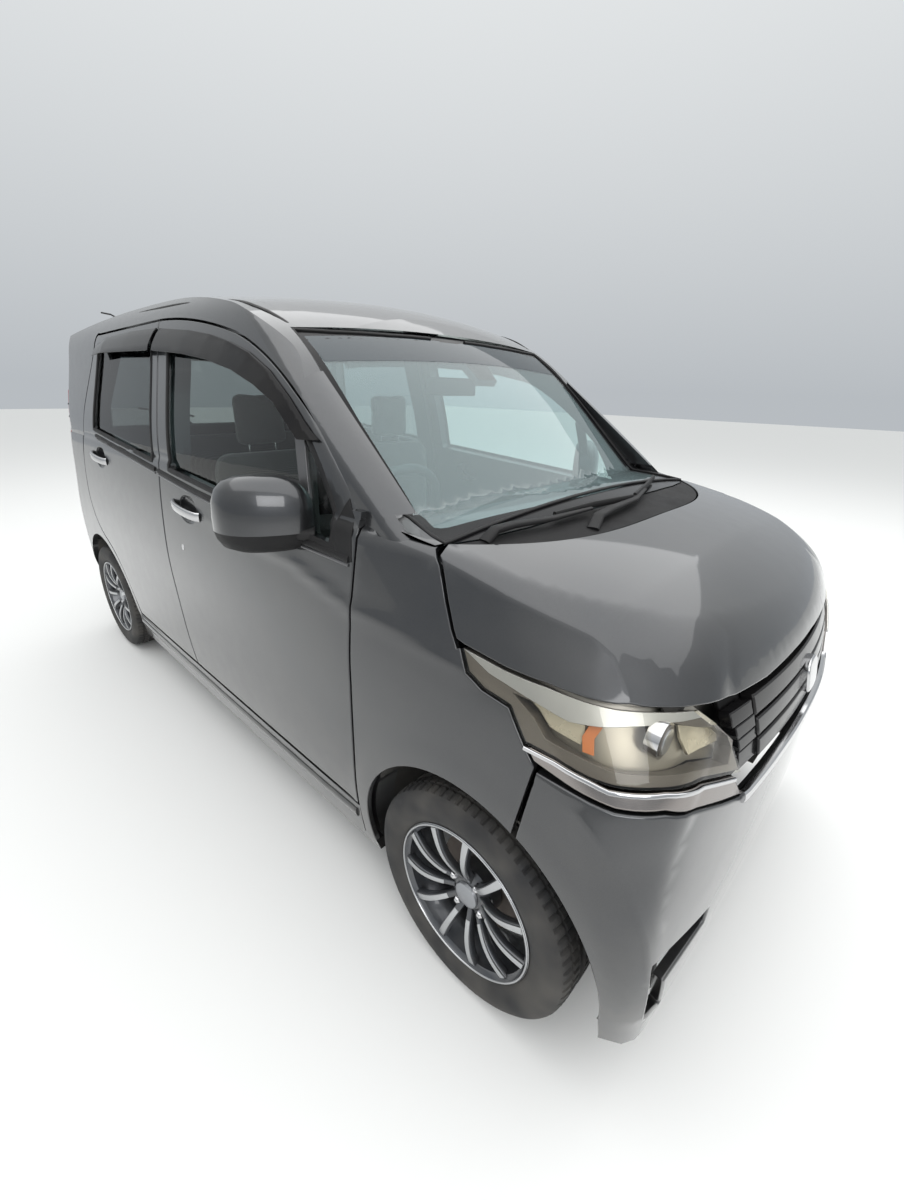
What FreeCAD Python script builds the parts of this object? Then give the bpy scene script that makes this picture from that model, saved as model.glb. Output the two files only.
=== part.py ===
"""Small four-door upright car, built as an assembly of separate pieces.

Frame: +X forward, +Y to the left side, +Z up, origin on the ground at the middle of the car.
All lengths are millimetres. The right half (y < 0) is worked out and the left half mirrors it.
"""
import FreeCAD, Part
import Sketcher
import math
import os
from FreeCAD import Placement, Rotation, Vector

doc = FreeCAD.newDocument("SmallCar")

# Driving dimensions: alias and value
SIZES = [
    ("length", 3395), ("width", 1475), ("height", 1655),
    ("wheelbase", 2520), ("front_overhang", 450), ("half_track", 652),
    ("tyre_radius", 278), ("tyre_width", 155), ("bead_radius", 182),
    ("rim_lip_radius", 195), ("rim_wall", 9), ("hub_radius", 64), ("spoke_count", 11),
    ("spoke_width", 17), ("spoke_depth", 20), ("spoke_face", 14), ("disc_radius", 115), ("disc_wall", 12),
    ("front_arch_radius", 338), ("rear_arch_radius", 345),
    ("steer_well_y", 405), ("rear_well_y", 545), ("liner_wall", 6),
    ("seat_gap", 0.3), ("running_gap", 6.5),
    ("door_wall", 52), ("jamb_clearance", 14), ("body_wall", 92), ("reveal", 45),
    ("skin_wall", 26), ("glass_inset", 10), ("screen_inset", 3), ("glass_wall", 4),
    ("belt_height", 1110), ("bumper_bottom", 195), ("door_bottom", 305),
    ("floor_height", 200), ("rear_floor_height", 360), ("floor_wall", 24),
    ("screen_top", 1497), ("screen_bottom", 1072), ("screen_bow", 22),
    ("tailgate_bottom", 640), ("tailgate_top", 1572),
    ("hood_crown_radius", 5500), ("roof_crown_radius", 3700),
    ("engine_long", 360), ("engine_tall", 555), ("rail_inner", 335), ("rail_height", 330), ("rail_tall", 90),
    ("seat_wide", 470), ("seat_half_pitch", 325), ("cushion_long", 500), ("cushion_tall", 150),
    ("cushion_bottom", 500), ("backrest_thick", 110), ("backrest_tall", 600), ("headrest_wide", 230),
    ("bench_wide", 1060), ("bench_bottom", 130), ("bench_back_tall", 560),
    ("steering_radius", 185), ("steering_grip", 14), ("steering_height", 975), ("column_radius", 30),
    ("stub_radius", 26), ("stub_long", 44.2), ("strut_radius", 20), ("strut_long", 420),
    ("ball_joint_y", 585), ("strut_top_y", 500),
    ("beam_radius", 32), ("pipe_radius", 20), ("muffler_radius", 60),
    ("mirror_long", 105), ("mirror_wide", 190), ("mirror_tall", 158), ("mirror_edge", 34),
    ("plate_bolt_spacing", 210), ("plate_bolt_radius", 3),
    ("front_plate_height", 430), ("rear_plate_height", 800),
]
sheet = doc.addObject("Spreadsheet::Sheet", "Sizes")
for number, (alias, value) in enumerate(SIZES, start=1):
    sheet.set("A%d" % number, alias)
    sheet.set("B%d" % number, str(value))
    sheet.setAlias("B%d" % number, alias)
doc.recompute()


def size(alias):
    return float(sheet.get(alias))


NOSE_X = size("length") / 2
TAIL_X = -NOSE_X
HALF_WIDTH = size("width") / 2
FRONT_AXLE_X = NOSE_X - size("front_overhang")
REAR_AXLE_X = FRONT_AXLE_X - size("wheelbase")
WHEEL_Z = size("tyre_radius")
ROOF_Z = size("height")
BELT_Z = size("belt_height")
GAP = size("running_gap")
SEAT = size("seat_gap")
# Planes well outside the car, where cutting prisms start and end
AHEAD_X = NOSE_X + 80
BEHIND_X = TAIL_X - 80
OUTSIDE_Y = -HALF_WIDTH - 60
ABOVE_Z = ROOF_Z + 60
Y_AXIS = Vector(0, 1, 0)

# Level sections of the lower body, one per row. z: height; nose and tail: how far the section stays
# behind the nose and ahead of the tail; bow: how far its end arc falls back at the corner; corner:
# its corner radius; fore, door, mid, aft: how far the side stays inside the half width at four stations.
LOWER_COLUMNS = "z nose bow corner fore door mid aft tail tail_bow tail_corner".split()
LOWER_ROWS = [
    (165, 28, 25, 70, 48, 44, 42, 50, 32, 30, 90),
    (370, 7, 42, 75, 21, 16, 14, 22, 7, 38, 100),
    (600, 1, 82, 105, 11, 6, 3, 11, 1, 45, 110),
    (760, 12, 98, 180, 18, 6, 1, 12, 12, 48, 120),
    (880, 45, 118, 265, 46, 18, 9, 19, 30, 50, 125),
    (1000, 108, 150, 300, 98, 38, 22, 29, 38, 50, 125),
    (1110, 208, 160, 300, 140, 58, 39, 43, 42, 48, 120),
]
LOWER = [dict(zip(LOWER_COLUMNS, row)) for row in LOWER_ROWS]
# Level sections of the glasshouse. drop: how far below the roof's top; screen: how far the middle of
# the windscreen stands behind the nose; front, mid, aft: how far the side stays inside the half
# width at the windscreen's corner, in the middle and at the rear; the rest is as above.
UPPER_COLUMNS = "drop screen bow corner front mid aft tail tail_bow tail_corner".split()
UPPER_ROWS = [
    (655, 548, 48, 72, 66, 42, 46, 50, 50, 122),
    (545, 682, 52, 75, 72, 42, 46, 46, 48, 120),
    (355, 928, 58, 80, 90, 74, 75, 52, 44, 114),
    (205, 1127, 62, 80, 118, 108, 108, 67, 41, 108),
    (115, 1262, 62, 84, 137, 130, 130, 81, 38, 105),
    (55, 1390, 62, 105, 172, 166, 166, 108, 38, 110),
    (-10, 1640, 62, 140, 290, 272, 272, 210, 38, 130),
]
UPPER = [dict(zip(UPPER_COLUMNS, row)) for row in UPPER_ROWS]
FORE_STATION = FRONT_AXLE_X + 52
DOOR_STATION = FRONT_AXLE_X - 348
MID_STATION = -300
SMALLEST_CORNER = 22


def line(start, end):
    return Part.makeLine(start, end)


def arc(start, middle, end):
    return Part.Arc(start, middle, end).toShape()


def corner_points(arc_x, bow, corner, side_y, ahead, z):
    """Where an end arc meets its corner, the corner's middle, and the x where the corner ends."""
    arc_y = side_y - corner
    start_x = arc_x - ahead * bow * (arc_y / side_y) ** 2
    end_x = start_x - ahead * corner
    bend = corner * math.sqrt(0.5)
    start = Vector(start_x, -arc_y, z)
    middle = Vector(end_x + ahead * bend, -(arc_y + bend), z)
    return start, middle, end_x


def end_arc(corner_start, middle_x, z):
    """The half of an end arc from the car's middle plane to the right corner."""
    chord = corner_start.y
    rise = middle_x - corner_start.x
    radius = (chord ** 2 + rise ** 2) / (2 * rise)
    half = math.asin(-chord / abs(radius)) / 2
    centre_x = middle_x - radius
    via = Vector(centre_x + radius * math.cos(half), -abs(radius) * math.sin(half), z)
    return arc(Vector(middle_x, 0, z), via, corner_start)


def half_ring(z, front_x, back_x, row, sides, inset):
    """Half a level section: front arc, corner, side edges, rear corner, rear arc, middle line."""
    nose_bend = max(row["corner"] - inset, SMALLEST_CORNER)
    tail_bend = max(row["tail_corner"] - inset, SMALLEST_CORNER)
    start, middle, end_x = corner_points(front_x, row["bow"], nose_bend, sides["front"], 1, z)
    tail_start, tail_middle, tail_x = corner_points(back_x, row["tail_bow"], tail_bend, sides["aft"], -1, z)
    mid = Vector(MID_STATION, -sides["mid"], z)
    aft = Vector(tail_x, -sides["aft"], z)
    if "door" in sides:
        door = Vector(DOOR_STATION, -sides["door"], z)
        slope = (sides["front"] - sides["door"]) / (FORE_STATION - DOOR_STATION)
        end_y = min(sides["door"] + slope * (end_x - DOOR_STATION), sides["front"])
        end = Vector(end_x, -end_y, z)
        side = [line(end, door), arc(door, mid, aft)]
    else:
        end = Vector(end_x, -sides["front"], z)
        side = [arc(end, mid, aft)]
    tail_arc = end_arc(tail_start, back_x, z)
    edges = [end_arc(start, front_x, z), arc(start, middle, end)] + side
    edges += [arc(aft, tail_middle, tail_start), tail_arc, line(Vector(back_x, 0, z), Vector(front_x, 0, z))]
    return Part.Wire(edges)


def side_widths(row, stations, inset):
    return {name: HALF_WIDTH - row[column] - inset for name, column in stations.items()}


def lower_ring(row, inset):
    sides = side_widths(row, dict(front="fore", door="door", mid="mid", aft="aft"), inset)
    front_x = NOSE_X - row["nose"] - inset
    back_x = TAIL_X + row["tail"] + inset
    return half_ring(row["z"], front_x, back_x, row, sides, inset)


def upper_ring(row, inset, reach=0):
    """A level section of the glasshouse, with its front moved forward by reach."""
    sides = side_widths(row, dict(front="front", mid="mid", aft="aft"), inset)
    front_x = NOSE_X - row["screen"] - inset + reach
    back_x = TAIL_X + row["tail"] + inset
    return half_ring(ROOF_Z - row["drop"], front_x, back_x, row, sides, inset)


def outline(points):
    """A closed flat wire. A point is (a, b), or (via_a, via_b, a, b) for an arc that ends at (a, b)."""
    edges = []
    here = Vector(points[0][-2], 0, points[0][-1])
    for point in points[1:] + [points[0][-2:]]:
        goal = Vector(point[-2], 0, point[-1])
        if len(point) == 4:
            edges.append(arc(here, Vector(point[0], 0, point[1]), goal))
        else:
            edges.append(line(here, goal))
        here = goal
    return Part.Wire(edges)


def grown_face(points, grow):
    """A face of (x, z) inside an outline that is moved outwards by grow."""
    wire = outline(points)
    if grow:
        wire = wire.makeOffset2D(grow, 0, False, False)
    return Part.Face(wire)


def side_prism(points, grow=0, y_low=OUTSIDE_Y, y_high=0):
    """A prism along Y from a side view outline of (x, z)."""
    face = grown_face(points, grow)
    face.translate(Vector(0, y_low, 0))
    return face.extrude(Vector(0, y_high - y_low, 0))


def front_prism(points, x_low, x_high, grow=0):
    """A prism along X from a front view outline of (y, z)."""
    face = grown_face(points, grow)
    face.rotate(Vector(0, 0, 0), Vector(0, 0, 1), 90)
    face.translate(Vector(x_low, 0, 0))
    return face.extrude(Vector(x_high - x_low, 0, 0))


def plan_prism(points, z_low, z_high, grow=0):
    """A prism along Z from a plan view outline of (x, y)."""
    face = grown_face(points, grow)
    face.rotate(Vector(0, 0, 0), Vector(1, 0, 0), -90)
    face = face.mirror(Vector(0, 0, 0), Vector(0, 1, 0))
    face.translate(Vector(0, 0, z_low))
    return face.extrude(Vector(0, 0, z_high - z_low))


def block(x_low, x_high, y_low, y_high, z_low, z_high):
    return Part.makeBox(x_high - x_low, y_high - y_low, z_high - z_low, Vector(x_low, y_low, z_low))


def mirrored(shape):
    return shape.mirror(Vector(0, 0, 0), Y_AXIS)


def pair(shape):
    """A right-hand piece and its mirror image, apart from each other."""
    return Part.Compound([shape, mirrored(shape)])


def whole(half):
    """A right half joined to its mirror image across the middle plane."""
    return half.fuse(mirrored(half))


# Hood and roof lines over the middle of the car: arcs in (x, z)
HOOD_LINE = [(892, 1122), (1150, 1095, 1440, 1032), (1545, 986, 1660, 915), (1740, 855)]
ROOF_LINE = [(600, 1428), (414, 1553, 200, 1618), (-50, 1646, -300, 1655), (-970, 1638, -1640, 1588)]
CROWN_SWING = 17


def crown_cutter(points, radius, top_z, inset, reach_z):
    """What lies above a line of arcs that is turned about a low axis along the car."""
    path = []
    for point in points:
        lowered = list(point)
        lowered[1::2] = [z - inset for z in point[1::2]]
        path.append(tuple(lowered))
    face = Part.Face(outline(path + [(points[-1][-2], reach_z), (points[0][-2], reach_z)]))
    axis = Vector(0, 0, top_z - radius)
    face.rotate(axis, Vector(1, 0, 0), -1)
    return face.revolve(axis, Vector(1, 0, 0), CROWN_SWING)


def lower_half(inset):
    body = Part.makeLoft([lower_ring(row, inset) for row in LOWER], True, False)
    return body.cut(crown_cutter(HOOD_LINE, size("hood_crown_radius"), BELT_Z, inset, BELT_Z + 60))


# The glasshouse stands this far inside the lower body; a door's inside runs this far past the windscreen
BELT_STEP = 1
PAST_SCREEN = 500


def upper_loft(inset, reach=0):
    return Part.makeLoft([upper_ring(row, inset + BELT_STEP, reach) for row in UPPER], True, False)


def upper_half(inset):
    roof = crown_cutter(ROOF_LINE, size("roof_crown_radius"), ROOF_Z, inset, ABOVE_Z + 60)
    return upper_loft(inset).cut(roof)


def door_space(inset):
    """What lies inside a door. It runs on past the windscreen and the roof, so a door has no hook."""
    return lower_half(inset).fuse(upper_loft(inset, PAST_SCREEN))


SKIN = size("skin_wall")
LOWER_0, LOWER_SKIN = lower_half(0), lower_half(SKIN)
UPPER_0 = upper_half(0)
OUTER = LOWER_0.fuse(UPPER_0)
SKIN_INSIDE = LOWER_SKIN.fuse(upper_half(SKIN))
TAILGATE_INSIDE = lower_half(size("door_wall")).fuse(upper_half(size("door_wall")))
DOOR_INSIDE = door_space(size("door_wall"))
JAMB = door_space(size("door_wall") + size("jamb_clearance"))
UPPER_BODY = upper_half(size("body_wall"))
CAVITY = lower_half(size("body_wall")).fuse(UPPER_BODY)

# Panel outlines, placed from the axles, the belt and the roof
DOOR_FRONT_X = FRONT_AXLE_X - 368
PILLAR_X = FRONT_AXLE_X - 1484
PILLAR_LEAN = 0.072
DOOR_BOTTOM = size("door_bottom")
DOOR_TOP = ROOF_Z - 108
HOOD_BACK_X = FRONT_AXLE_X - 162
BUMPER_SEAM_X = FRONT_AXLE_X + 162
BUMPER_LOW = size("bumper_bottom")
DOOR_ARCH = size("rear_arch_radius") + 42


def pillar_x(z):
    """The gap between the doors leans back with height."""
    return PILLAR_X - PILLAR_LEAN * (z - 800)


def over_rear_wheel(z):
    """The x at which the rear door's edge around the wheel arch has a height."""
    return REAR_AXLE_X + math.sqrt(DOOR_ARCH ** 2 - (z - WHEEL_Z) ** 2)


FRONT_DOOR = [
    (pillar_x(DOOR_BOTTOM), DOOR_BOTTOM), (DOOR_FRONT_X - 14, DOOR_BOTTOM), (DOOR_FRONT_X + 6, 700),
    (DOOR_FRONT_X, 1075), (DOOR_FRONT_X - 279, 1338, DOOR_FRONT_X - 603, ROOF_Z - 170),
    (DOOR_FRONT_X - 879, DOOR_TOP - 17, pillar_x(DOOR_TOP), DOOR_TOP),
]
REAR_DOOR = [
    (pillar_x(DOOR_TOP) - GAP, DOOR_TOP), (REAR_AXLE_X + 300, DOOR_TOP - 14),
    (REAR_AXLE_X + 252, DOOR_TOP - 22, REAR_AXLE_X + 228, DOOR_TOP - 60), (REAR_AXLE_X + 74, 1245),
    (REAR_AXLE_X, 1060, REAR_AXLE_X - 20, 880),
    (REAR_AXLE_X + 10, 760, over_rear_wheel(640), 640),
    (over_rear_wheel(480), 480, over_rear_wheel(DOOR_BOTTOM), DOOR_BOTTOM),
    (pillar_x(DOOR_BOTTOM) - GAP, DOOR_BOTTOM),
]
FRONT_WINDOW = [
    (pillar_x(1080) + 88, 1078), (DOOR_FRONT_X - 62, 1012),
    (DOOR_FRONT_X - 276, 1297, DOOR_FRONT_X - 608, ROOF_Z - 209),
    (DOOR_FRONT_X - 860, ROOF_Z - 163, pillar_x(1490) + 82, ROOF_Z - 152),
]
REAR_WINDOW = [
    (pillar_x(1090) - 68, 1092), (pillar_x(1500) - 62, ROOF_Z - 150), (REAR_AXLE_X + 330, ROOF_Z - 158),
    (REAR_AXLE_X + 292, ROOF_Z - 170, REAR_AXLE_X + 280, ROOF_Z - 200), (REAR_AXLE_X + 205, 1152),
]
FENDER_BACK = [
    (DOOR_FRONT_X - 17 + GAP, BUMPER_LOW), (DOOR_FRONT_X - 14 + GAP, DOOR_BOTTOM),
    (DOOR_FRONT_X + 6 + GAP, 700), (DOOR_FRONT_X + GAP, 1075),
    (DOOR_FRONT_X + 10, 1093), (DOOR_FRONT_X + 73, 1138),
]
HOOD_SIDE = [
    (HOOD_BACK_X - 8, 1200), (HOOD_BACK_X - 8, 1062), (HOOD_BACK_X + 58, 979), (HOOD_BACK_X + 113, 903),
    (HOOD_BACK_X + 368, 868), (HOOD_BACK_X + 485, 832), (AHEAD_X, 846), (AHEAD_X, 1200),
]
COWL_PLAN = [
    (HOOD_BACK_X - 190, 0), (HOOD_BACK_X - 190, -640), (HOOD_BACK_X - 9, -640), (HOOD_BACK_X, -612),
    (HOOD_BACK_X + 110, -310, HOOD_BACK_X + 152, 0), (HOOD_BACK_X + 110, 310, HOOD_BACK_X, 612),
    (HOOD_BACK_X - 9, 640), (HOOD_BACK_X - 190, 640),
]
BUMPER_SIDE = [
    (BUMPER_SEAM_X, 880), (BUMPER_SEAM_X - 34, 600), (BUMPER_SEAM_X - 34, BUMPER_LOW),
    (AHEAD_X, BUMPER_LOW), (AHEAD_X, 880),
]
LAMP_FRONT = [
    (OUTSIDE_Y, 912), (-690, 903), (-620, 867), (-450, 842), (-432, 742), (-640, 765), (OUTSIDE_Y, 790),
]
LAMP_SIDE = [
    (BUMPER_SEAM_X - 210, 900), (BUMPER_SEAM_X - 35, 780), (AHEAD_X, 690), (AHEAD_X, 960),
    (BUMPER_SEAM_X - 200, 960),
]
GRILLE_FRONT = [(0, 668), (-380, 668), (-432, 742), (-450, 842), (0, 842)]
SCREEN_FRONT = [
    (-600, size("screen_bottom")), (-545, size("screen_top")),
    (0, size("screen_top") + size("screen_bow"), 545, size("screen_top")), (600, size("screen_bottom")),
]
TAILGATE_BACK = [
    (-560, size("tailgate_bottom")), (-612, 900), (-560, 1420), (-500, size("tailgate_top")),
    (500, size("tailgate_top")), (560, 1420), (612, 900), (560, size("tailgate_bottom")),
]
TAIL_WINDOW = [(-500, 1120), (-455, 1478), (455, 1478), (500, 1120)]
SKIRT_SIDE = [
    (DOOR_FRONT_X - 14, DOOR_BOTTOM - GAP), (DOOR_FRONT_X - 30, 100), (REAR_AXLE_X + 300, 100),
    (REAR_AXLE_X + 372, DOOR_BOTTOM - GAP),
]
TAIL_LAMP_BACK = [(OUTSIDE_Y, 905), (-622, 905), (-590, 1325), (OUTSIDE_Y, 1325)]
ROOF_HALF = 512
SCUTTLE_Z = BELT_Z - 110


def wheel_well(axle_x, radius, inner_y, outer_y=OUTSIDE_Y):
    return Part.makeCylinder(radius, -inner_y - outer_y, Vector(axle_x, outer_y, WHEEL_Z), Y_AXIS)


front_well = wheel_well(FRONT_AXLE_X, size("front_arch_radius"), size("steer_well_y"))
rear_well = wheel_well(REAR_AXLE_X, size("rear_arch_radius"), size("rear_well_y"))

# Nose panels: fixed ones meet face to face, the hood keeps its gap
nose_skin = LOWER_0.cut(LOWER_SKIN).common(block(DOOR_FRONT_X - 100, AHEAD_X, OUTSIDE_Y, 0, 0, ABOVE_Z))
hood_region, hood_room = side_prism(HOOD_SIDE), side_prism(HOOD_SIDE, GAP)
cowl_region = plan_prism(COWL_PLAN, SCUTTLE_Z, BELT_Z)
cowl_room = plan_prism(COWL_PLAN, SCUTTLE_Z, BELT_Z + 60, GAP)
lamp_region = front_prism(LAMP_FRONT, 1100, AHEAD_X).common(side_prism(LAMP_SIDE))
grille_region = front_prism(GRILLE_FRONT, 1300, AHEAD_X)
bumper_region = side_prism(BUMPER_SIDE)
fender_region = side_prism(FENDER_BACK + [(AHEAD_X, 1138), (AHEAD_X, BUMPER_LOW)])
hood = nose_skin.common(hood_region).cut(cowl_room)
fixed_nose = nose_skin.cut(hood_room)
headlamp = fixed_nose.common(lamp_region)
grille = fixed_nose.common(grille_region)
outside_lamps = fixed_nose.cut(lamp_region).cut(grille_region).cut(front_well)
bumper = outside_lamps.common(bumper_region)
fender = outside_lamps.common(fender_region).cut(bumper_region).cut(cowl_region)
upper_outside = upper_half(size("screen_inset"))
cowl = nose_skin.common(cowl_region).cut(upper_outside)
fender = fender.cut(UPPER_0)

# Doors of the right side with their windows
front_window, rear_window = side_prism(FRONT_WINDOW), side_prism(REAR_WINDOW)
front_door = OUTER.common(side_prism(FRONT_DOOR)).cut(DOOR_INSIDE).cut(front_window)
rear_door = OUTER.common(side_prism(REAR_DOOR)).cut(DOOR_INSIDE).cut(rear_window)
glass_outside = upper_half(size("glass_inset"))
glass_inside = upper_half(size("glass_inset") + size("glass_wall"))
glass_side = block(REAR_AXLE_X - 100, DOOR_FRONT_X + 100, OUTSIDE_Y, -400, 900, ROOF_Z)
front_glass = glass_outside.common(front_window).common(glass_side).cut(glass_inside)
rear_glass = glass_outside.common(rear_window).common(glass_side).cut(glass_inside)

# The shell: sills, pillars, roof sides and rear quarters
TAIL_REACH_X = TAIL_X + 260
SHELL_FRONT_X = DOOR_FRONT_X + 66
REAR_SEAM_X = REAR_AXLE_X - 215
back_region = block(BEHIND_X, SHELL_FRONT_X, OUTSIDE_Y, 0, 100, ABOVE_Z)
front_region = block(SHELL_FRONT_X, AHEAD_X, OUTSIDE_Y, 0, SCUTTLE_Z, ABOVE_Z)
shell = OUTER.common(back_region).cut(CAVITY).fuse(UPPER_0.common(front_region).cut(UPPER_BODY))
for door in (FRONT_DOOR, REAR_DOOR):
    shell = shell.cut(side_prism(door, GAP).cut(JAMB))
    shell = shell.cut(side_prism(door, -size("reveal")))
screen_hole = front_prism(SCREEN_FRONT, 380, AHEAD_X)
tailgate_room = front_prism(TAILGATE_BACK, BEHIND_X, TAIL_REACH_X, GAP)
roof_region = block(BEHIND_X, AHEAD_X, -ROOF_HALF, 0, 1380, ABOVE_Z)
rear_bumper_region = block(BEHIND_X, REAR_SEAM_X, OUTSIDE_Y, 0, 100, size("tailgate_bottom") - GAP)
skirt_region = side_prism(SKIRT_SIDE)
tail_lamp_region = front_prism(TAIL_LAMP_BACK, BEHIND_X, TAIL_X + 118)
outer_cuts = [fender_region.cut(LOWER_SKIN).cut(UPPER_0), cowl_region.cut(LOWER_SKIN)]
outer_cuts += [skirt_region.cut(SKIN_INSIDE), tail_lamp_region.cut(SKIN_INSIDE)]
whole_cuts = [screen_hole, tailgate_room, roof_region, rear_bumper_region, front_well, rear_well]
for cutter in whole_cuts + outer_cuts:
    shell = shell.cut(cutter)
roof_panel = OUTER.common(roof_region).cut(SKIN_INSIDE).cut(screen_hole).cut(tailgate_room)
rear_bumper = OUTER.common(rear_bumper_region).cut(SKIN_INSIDE).cut(rear_well).cut(tailgate_room)
skirt = OUTER.common(skirt_region).cut(SKIN_INSIDE).cut(rear_well)
tail_lamp = OUTER.common(tail_lamp_region).cut(SKIN_INSIDE)
tail_window = front_prism(TAIL_WINDOW, BEHIND_X, TAIL_REACH_X)
tailgate_region = front_prism(TAILGATE_BACK, BEHIND_X, TAIL_REACH_X)
tailgate = OUTER.common(tailgate_region).cut(TAILGATE_INSIDE).cut(tail_window)
tail_glass = glass_outside.common(tail_window).cut(glass_inside)
windscreen = upper_outside.common(screen_hole)
windscreen = windscreen.cut(upper_half(size("screen_inset") + size("glass_wall")))


def plate_bolt(x_low, z):
    """The right bolt hole of a number plate, along X through the panel behind the plate."""
    start = Vector(x_low, -size("plate_bolt_spacing") / 2, z)
    return Part.makeCylinder(size("plate_bolt_radius"), 200, start, Vector(1, 0, 0))


bumper = bumper.cut(plate_bolt(NOSE_X - 150, size("front_plate_height")))
tailgate = tailgate.cut(plate_bolt(TAIL_X - 50, size("rear_plate_height")))

NODES = {}


def keep(node, shape):
    """A sub-part whose shape is worked out above."""
    item = doc.addObject("Part::Feature", node)
    item.Label = node
    item.Shape = shape
    NODES[node] = item
    return item


def box(name, x, y, z, long, wide, tall):
    """A box whose low corner and sizes are expressions on the sheet."""
    item = doc.addObject("Part::Box", name)
    item.setExpression("Length", long)
    item.setExpression("Width", wide)
    item.setExpression("Height", tall)
    item.setExpression("Placement.Base.x", x)
    item.setExpression("Placement.Base.y", y)
    item.setExpression("Placement.Base.z", z)
    return item


def rod(name, x, y, z, radius, long, axis=Y_AXIS):
    """A cylinder from a point along an axis, with sizes and place as expressions on the sheet."""
    item = doc.addObject("Part::Cylinder", name)
    item.setExpression("Radius", radius)
    item.setExpression("Height", long)
    item.Placement = Placement(Vector(0, 0, 0), Rotation(Vector(0, 0, 1), axis))
    item.setExpression("Placement.Base.x", x)
    item.setExpression("Placement.Base.y", y)
    item.setExpression("Placement.Base.z", z)
    return item


def fused(node, items):
    item = doc.addObject("Part::MultiFuse", node)
    item.Shapes = items
    item.Label = node
    NODES[node] = item
    return item


def size_of(expression):
    """The value of a sheet expression, for a sketch's first guess."""
    return float(sheet.evalExpression(expression))


def revolved(node, profile, placement):
    """A body made by turning a profile of (radius, across) expressions about the wheel's axis."""
    body = doc.addObject("PartDesign::Body", node)
    body.Label = node
    sketch = body.newObject("Sketcher::SketchObject", node + "_profile")
    plane = [item for item in body.Origin.OriginFeatures if item.Role == "XY_Plane"][0]
    sketch.AttachmentSupport = [(plane, "")]
    sketch.MapMode = "FlatFace"
    values = [(size_of(radius), size_of(across)) for radius, across in profile]
    count = len(values)
    for index in range(count):
        start = Vector(values[index][0], values[index][1], 0)
        end = Vector(values[(index + 1) % count][0], values[(index + 1) % count][1], 0)
        sketch.addGeometry(Part.LineSegment(start, end), False)
    for index in range(count):
        sketch.addConstraint(Sketcher.Constraint("Coincident", index, 2, (index + 1) % count, 1))
    for index, expressions in enumerate(profile):
        for kind, value, expression in zip(("DistanceX", "DistanceY"), values[index], expressions):
            number = sketch.addConstraint(Sketcher.Constraint(kind, -1, 1, index, 1, value))
            sketch.setExpression("Constraints[%d]" % number, expression)
    turn = body.newObject("PartDesign::Revolution", node + "_turn")
    turn.Profile = sketch
    turn.ReferenceAxis = (sketch, ["V_Axis"])
    turn.Angle = 360
    body.Tip = turn
    body.Placement = placement
    return body


# Mirror housing on a foot at the front corner of the window
MIRROR_X, MIRROR_Y, MIRROR_Z = FRONT_AXLE_X - 660, -853, 1000
housing = block(MIRROR_X, MIRROR_X + size("mirror_long"), MIRROR_Y, MIRROR_Y + size("mirror_wide"),
                MIRROR_Z, MIRROR_Z + size("mirror_tall"))
housing = housing.makeFillet(size("mirror_edge"), housing.Edges)
foot = block(MIRROR_X + 40, MIRROR_X + 100, -700, -640, MIRROR_Z + 8, MIRROR_Z + 44)
mirror = housing.fuse(foot).cut(OUTER)

# Floor, firewall, rails, wheel arch liners and the carrier behind the headlamps
STEP_X = REAR_AXLE_X + 732
FLOOR_Z, REAR_FLOOR_Z, WALL = size("floor_height"), size("rear_floor_height"), size("floor_wall")
LINER = size("liner_wall")
RAIL_IN, RAIL_OUT = size("rail_inner"), size("rail_inner") + 70
CARRIER_X = NOSE_X - 157
front_floor = block(STEP_X, SHELL_FRONT_X, OUTSIDE_Y, 0, FLOOR_Z, FLOOR_Z + WALL)
step = block(STEP_X, STEP_X + WALL, OUTSIDE_Y, 0, FLOOR_Z, REAR_FLOOR_Z + WALL)
rear_floor = block(BEHIND_X, STEP_X + WALL, OUTSIDE_Y, 0, REAR_FLOOR_Z, REAR_FLOOR_Z + WALL)
firewall = block(SHELL_FRONT_X - WALL, SHELL_FRONT_X, -560, 0, FLOOR_Z, SCUTTLE_Z - WALL - SEAT)
RAIL_Z = size("rail_height")
rail = block(SHELL_FRONT_X - WALL, CARRIER_X, -RAIL_OUT, -RAIL_IN, RAIL_Z, RAIL_Z + size("rail_tall"))
carrier = block(CARRIER_X, CARRIER_X + 20, -560, 0, RAIL_Z, 1000)
front_liner = wheel_well(FRONT_AXLE_X, size("front_arch_radius") + LINER, -LINER + size("steer_well_y"))
rear_liner = wheel_well(REAR_AXLE_X, size("rear_arch_radius") + LINER, -LINER + size("rear_well_y"))
front_liner = front_liner.common(block(BEHIND_X, AHEAD_X, OUTSIDE_Y, 0, FLOOR_Z, ABOVE_Z))
rear_liner = rear_liner.common(block(BEHIND_X, AHEAD_X, OUTSIDE_Y, 0, REAR_FLOOR_Z, ABOVE_Z))
floor = front_floor.fuse([step, rear_floor, firewall, rail, carrier, front_liner, rear_liner])
nose_box = block(SHELL_FRONT_X, AHEAD_X, OUTSIDE_Y, 0, 0, SCUTTLE_Z - SEAT)
nose_space = lower_half(SKIN + SEAT).common(nose_box)
tail_space = SKIN_INSIDE.common(rear_bumper_region)
floor = floor.common(CAVITY.fuse([nose_space, tail_space])).cut(front_well).cut(rear_well)
axis_foot = Vector(FRONT_AXLE_X, -size("ball_joint_y"), 185)
axis_head = Vector(FRONT_AXLE_X, -size("strut_top_y"), 616)
steer_axis = (axis_head - axis_foot).normalize()
strut_mount = Part.makeCylinder(30, 32, axis_foot + steer_axis * (size("strut_long") + SEAT), steer_axis)
floor = floor.fuse(strut_mount)

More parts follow.
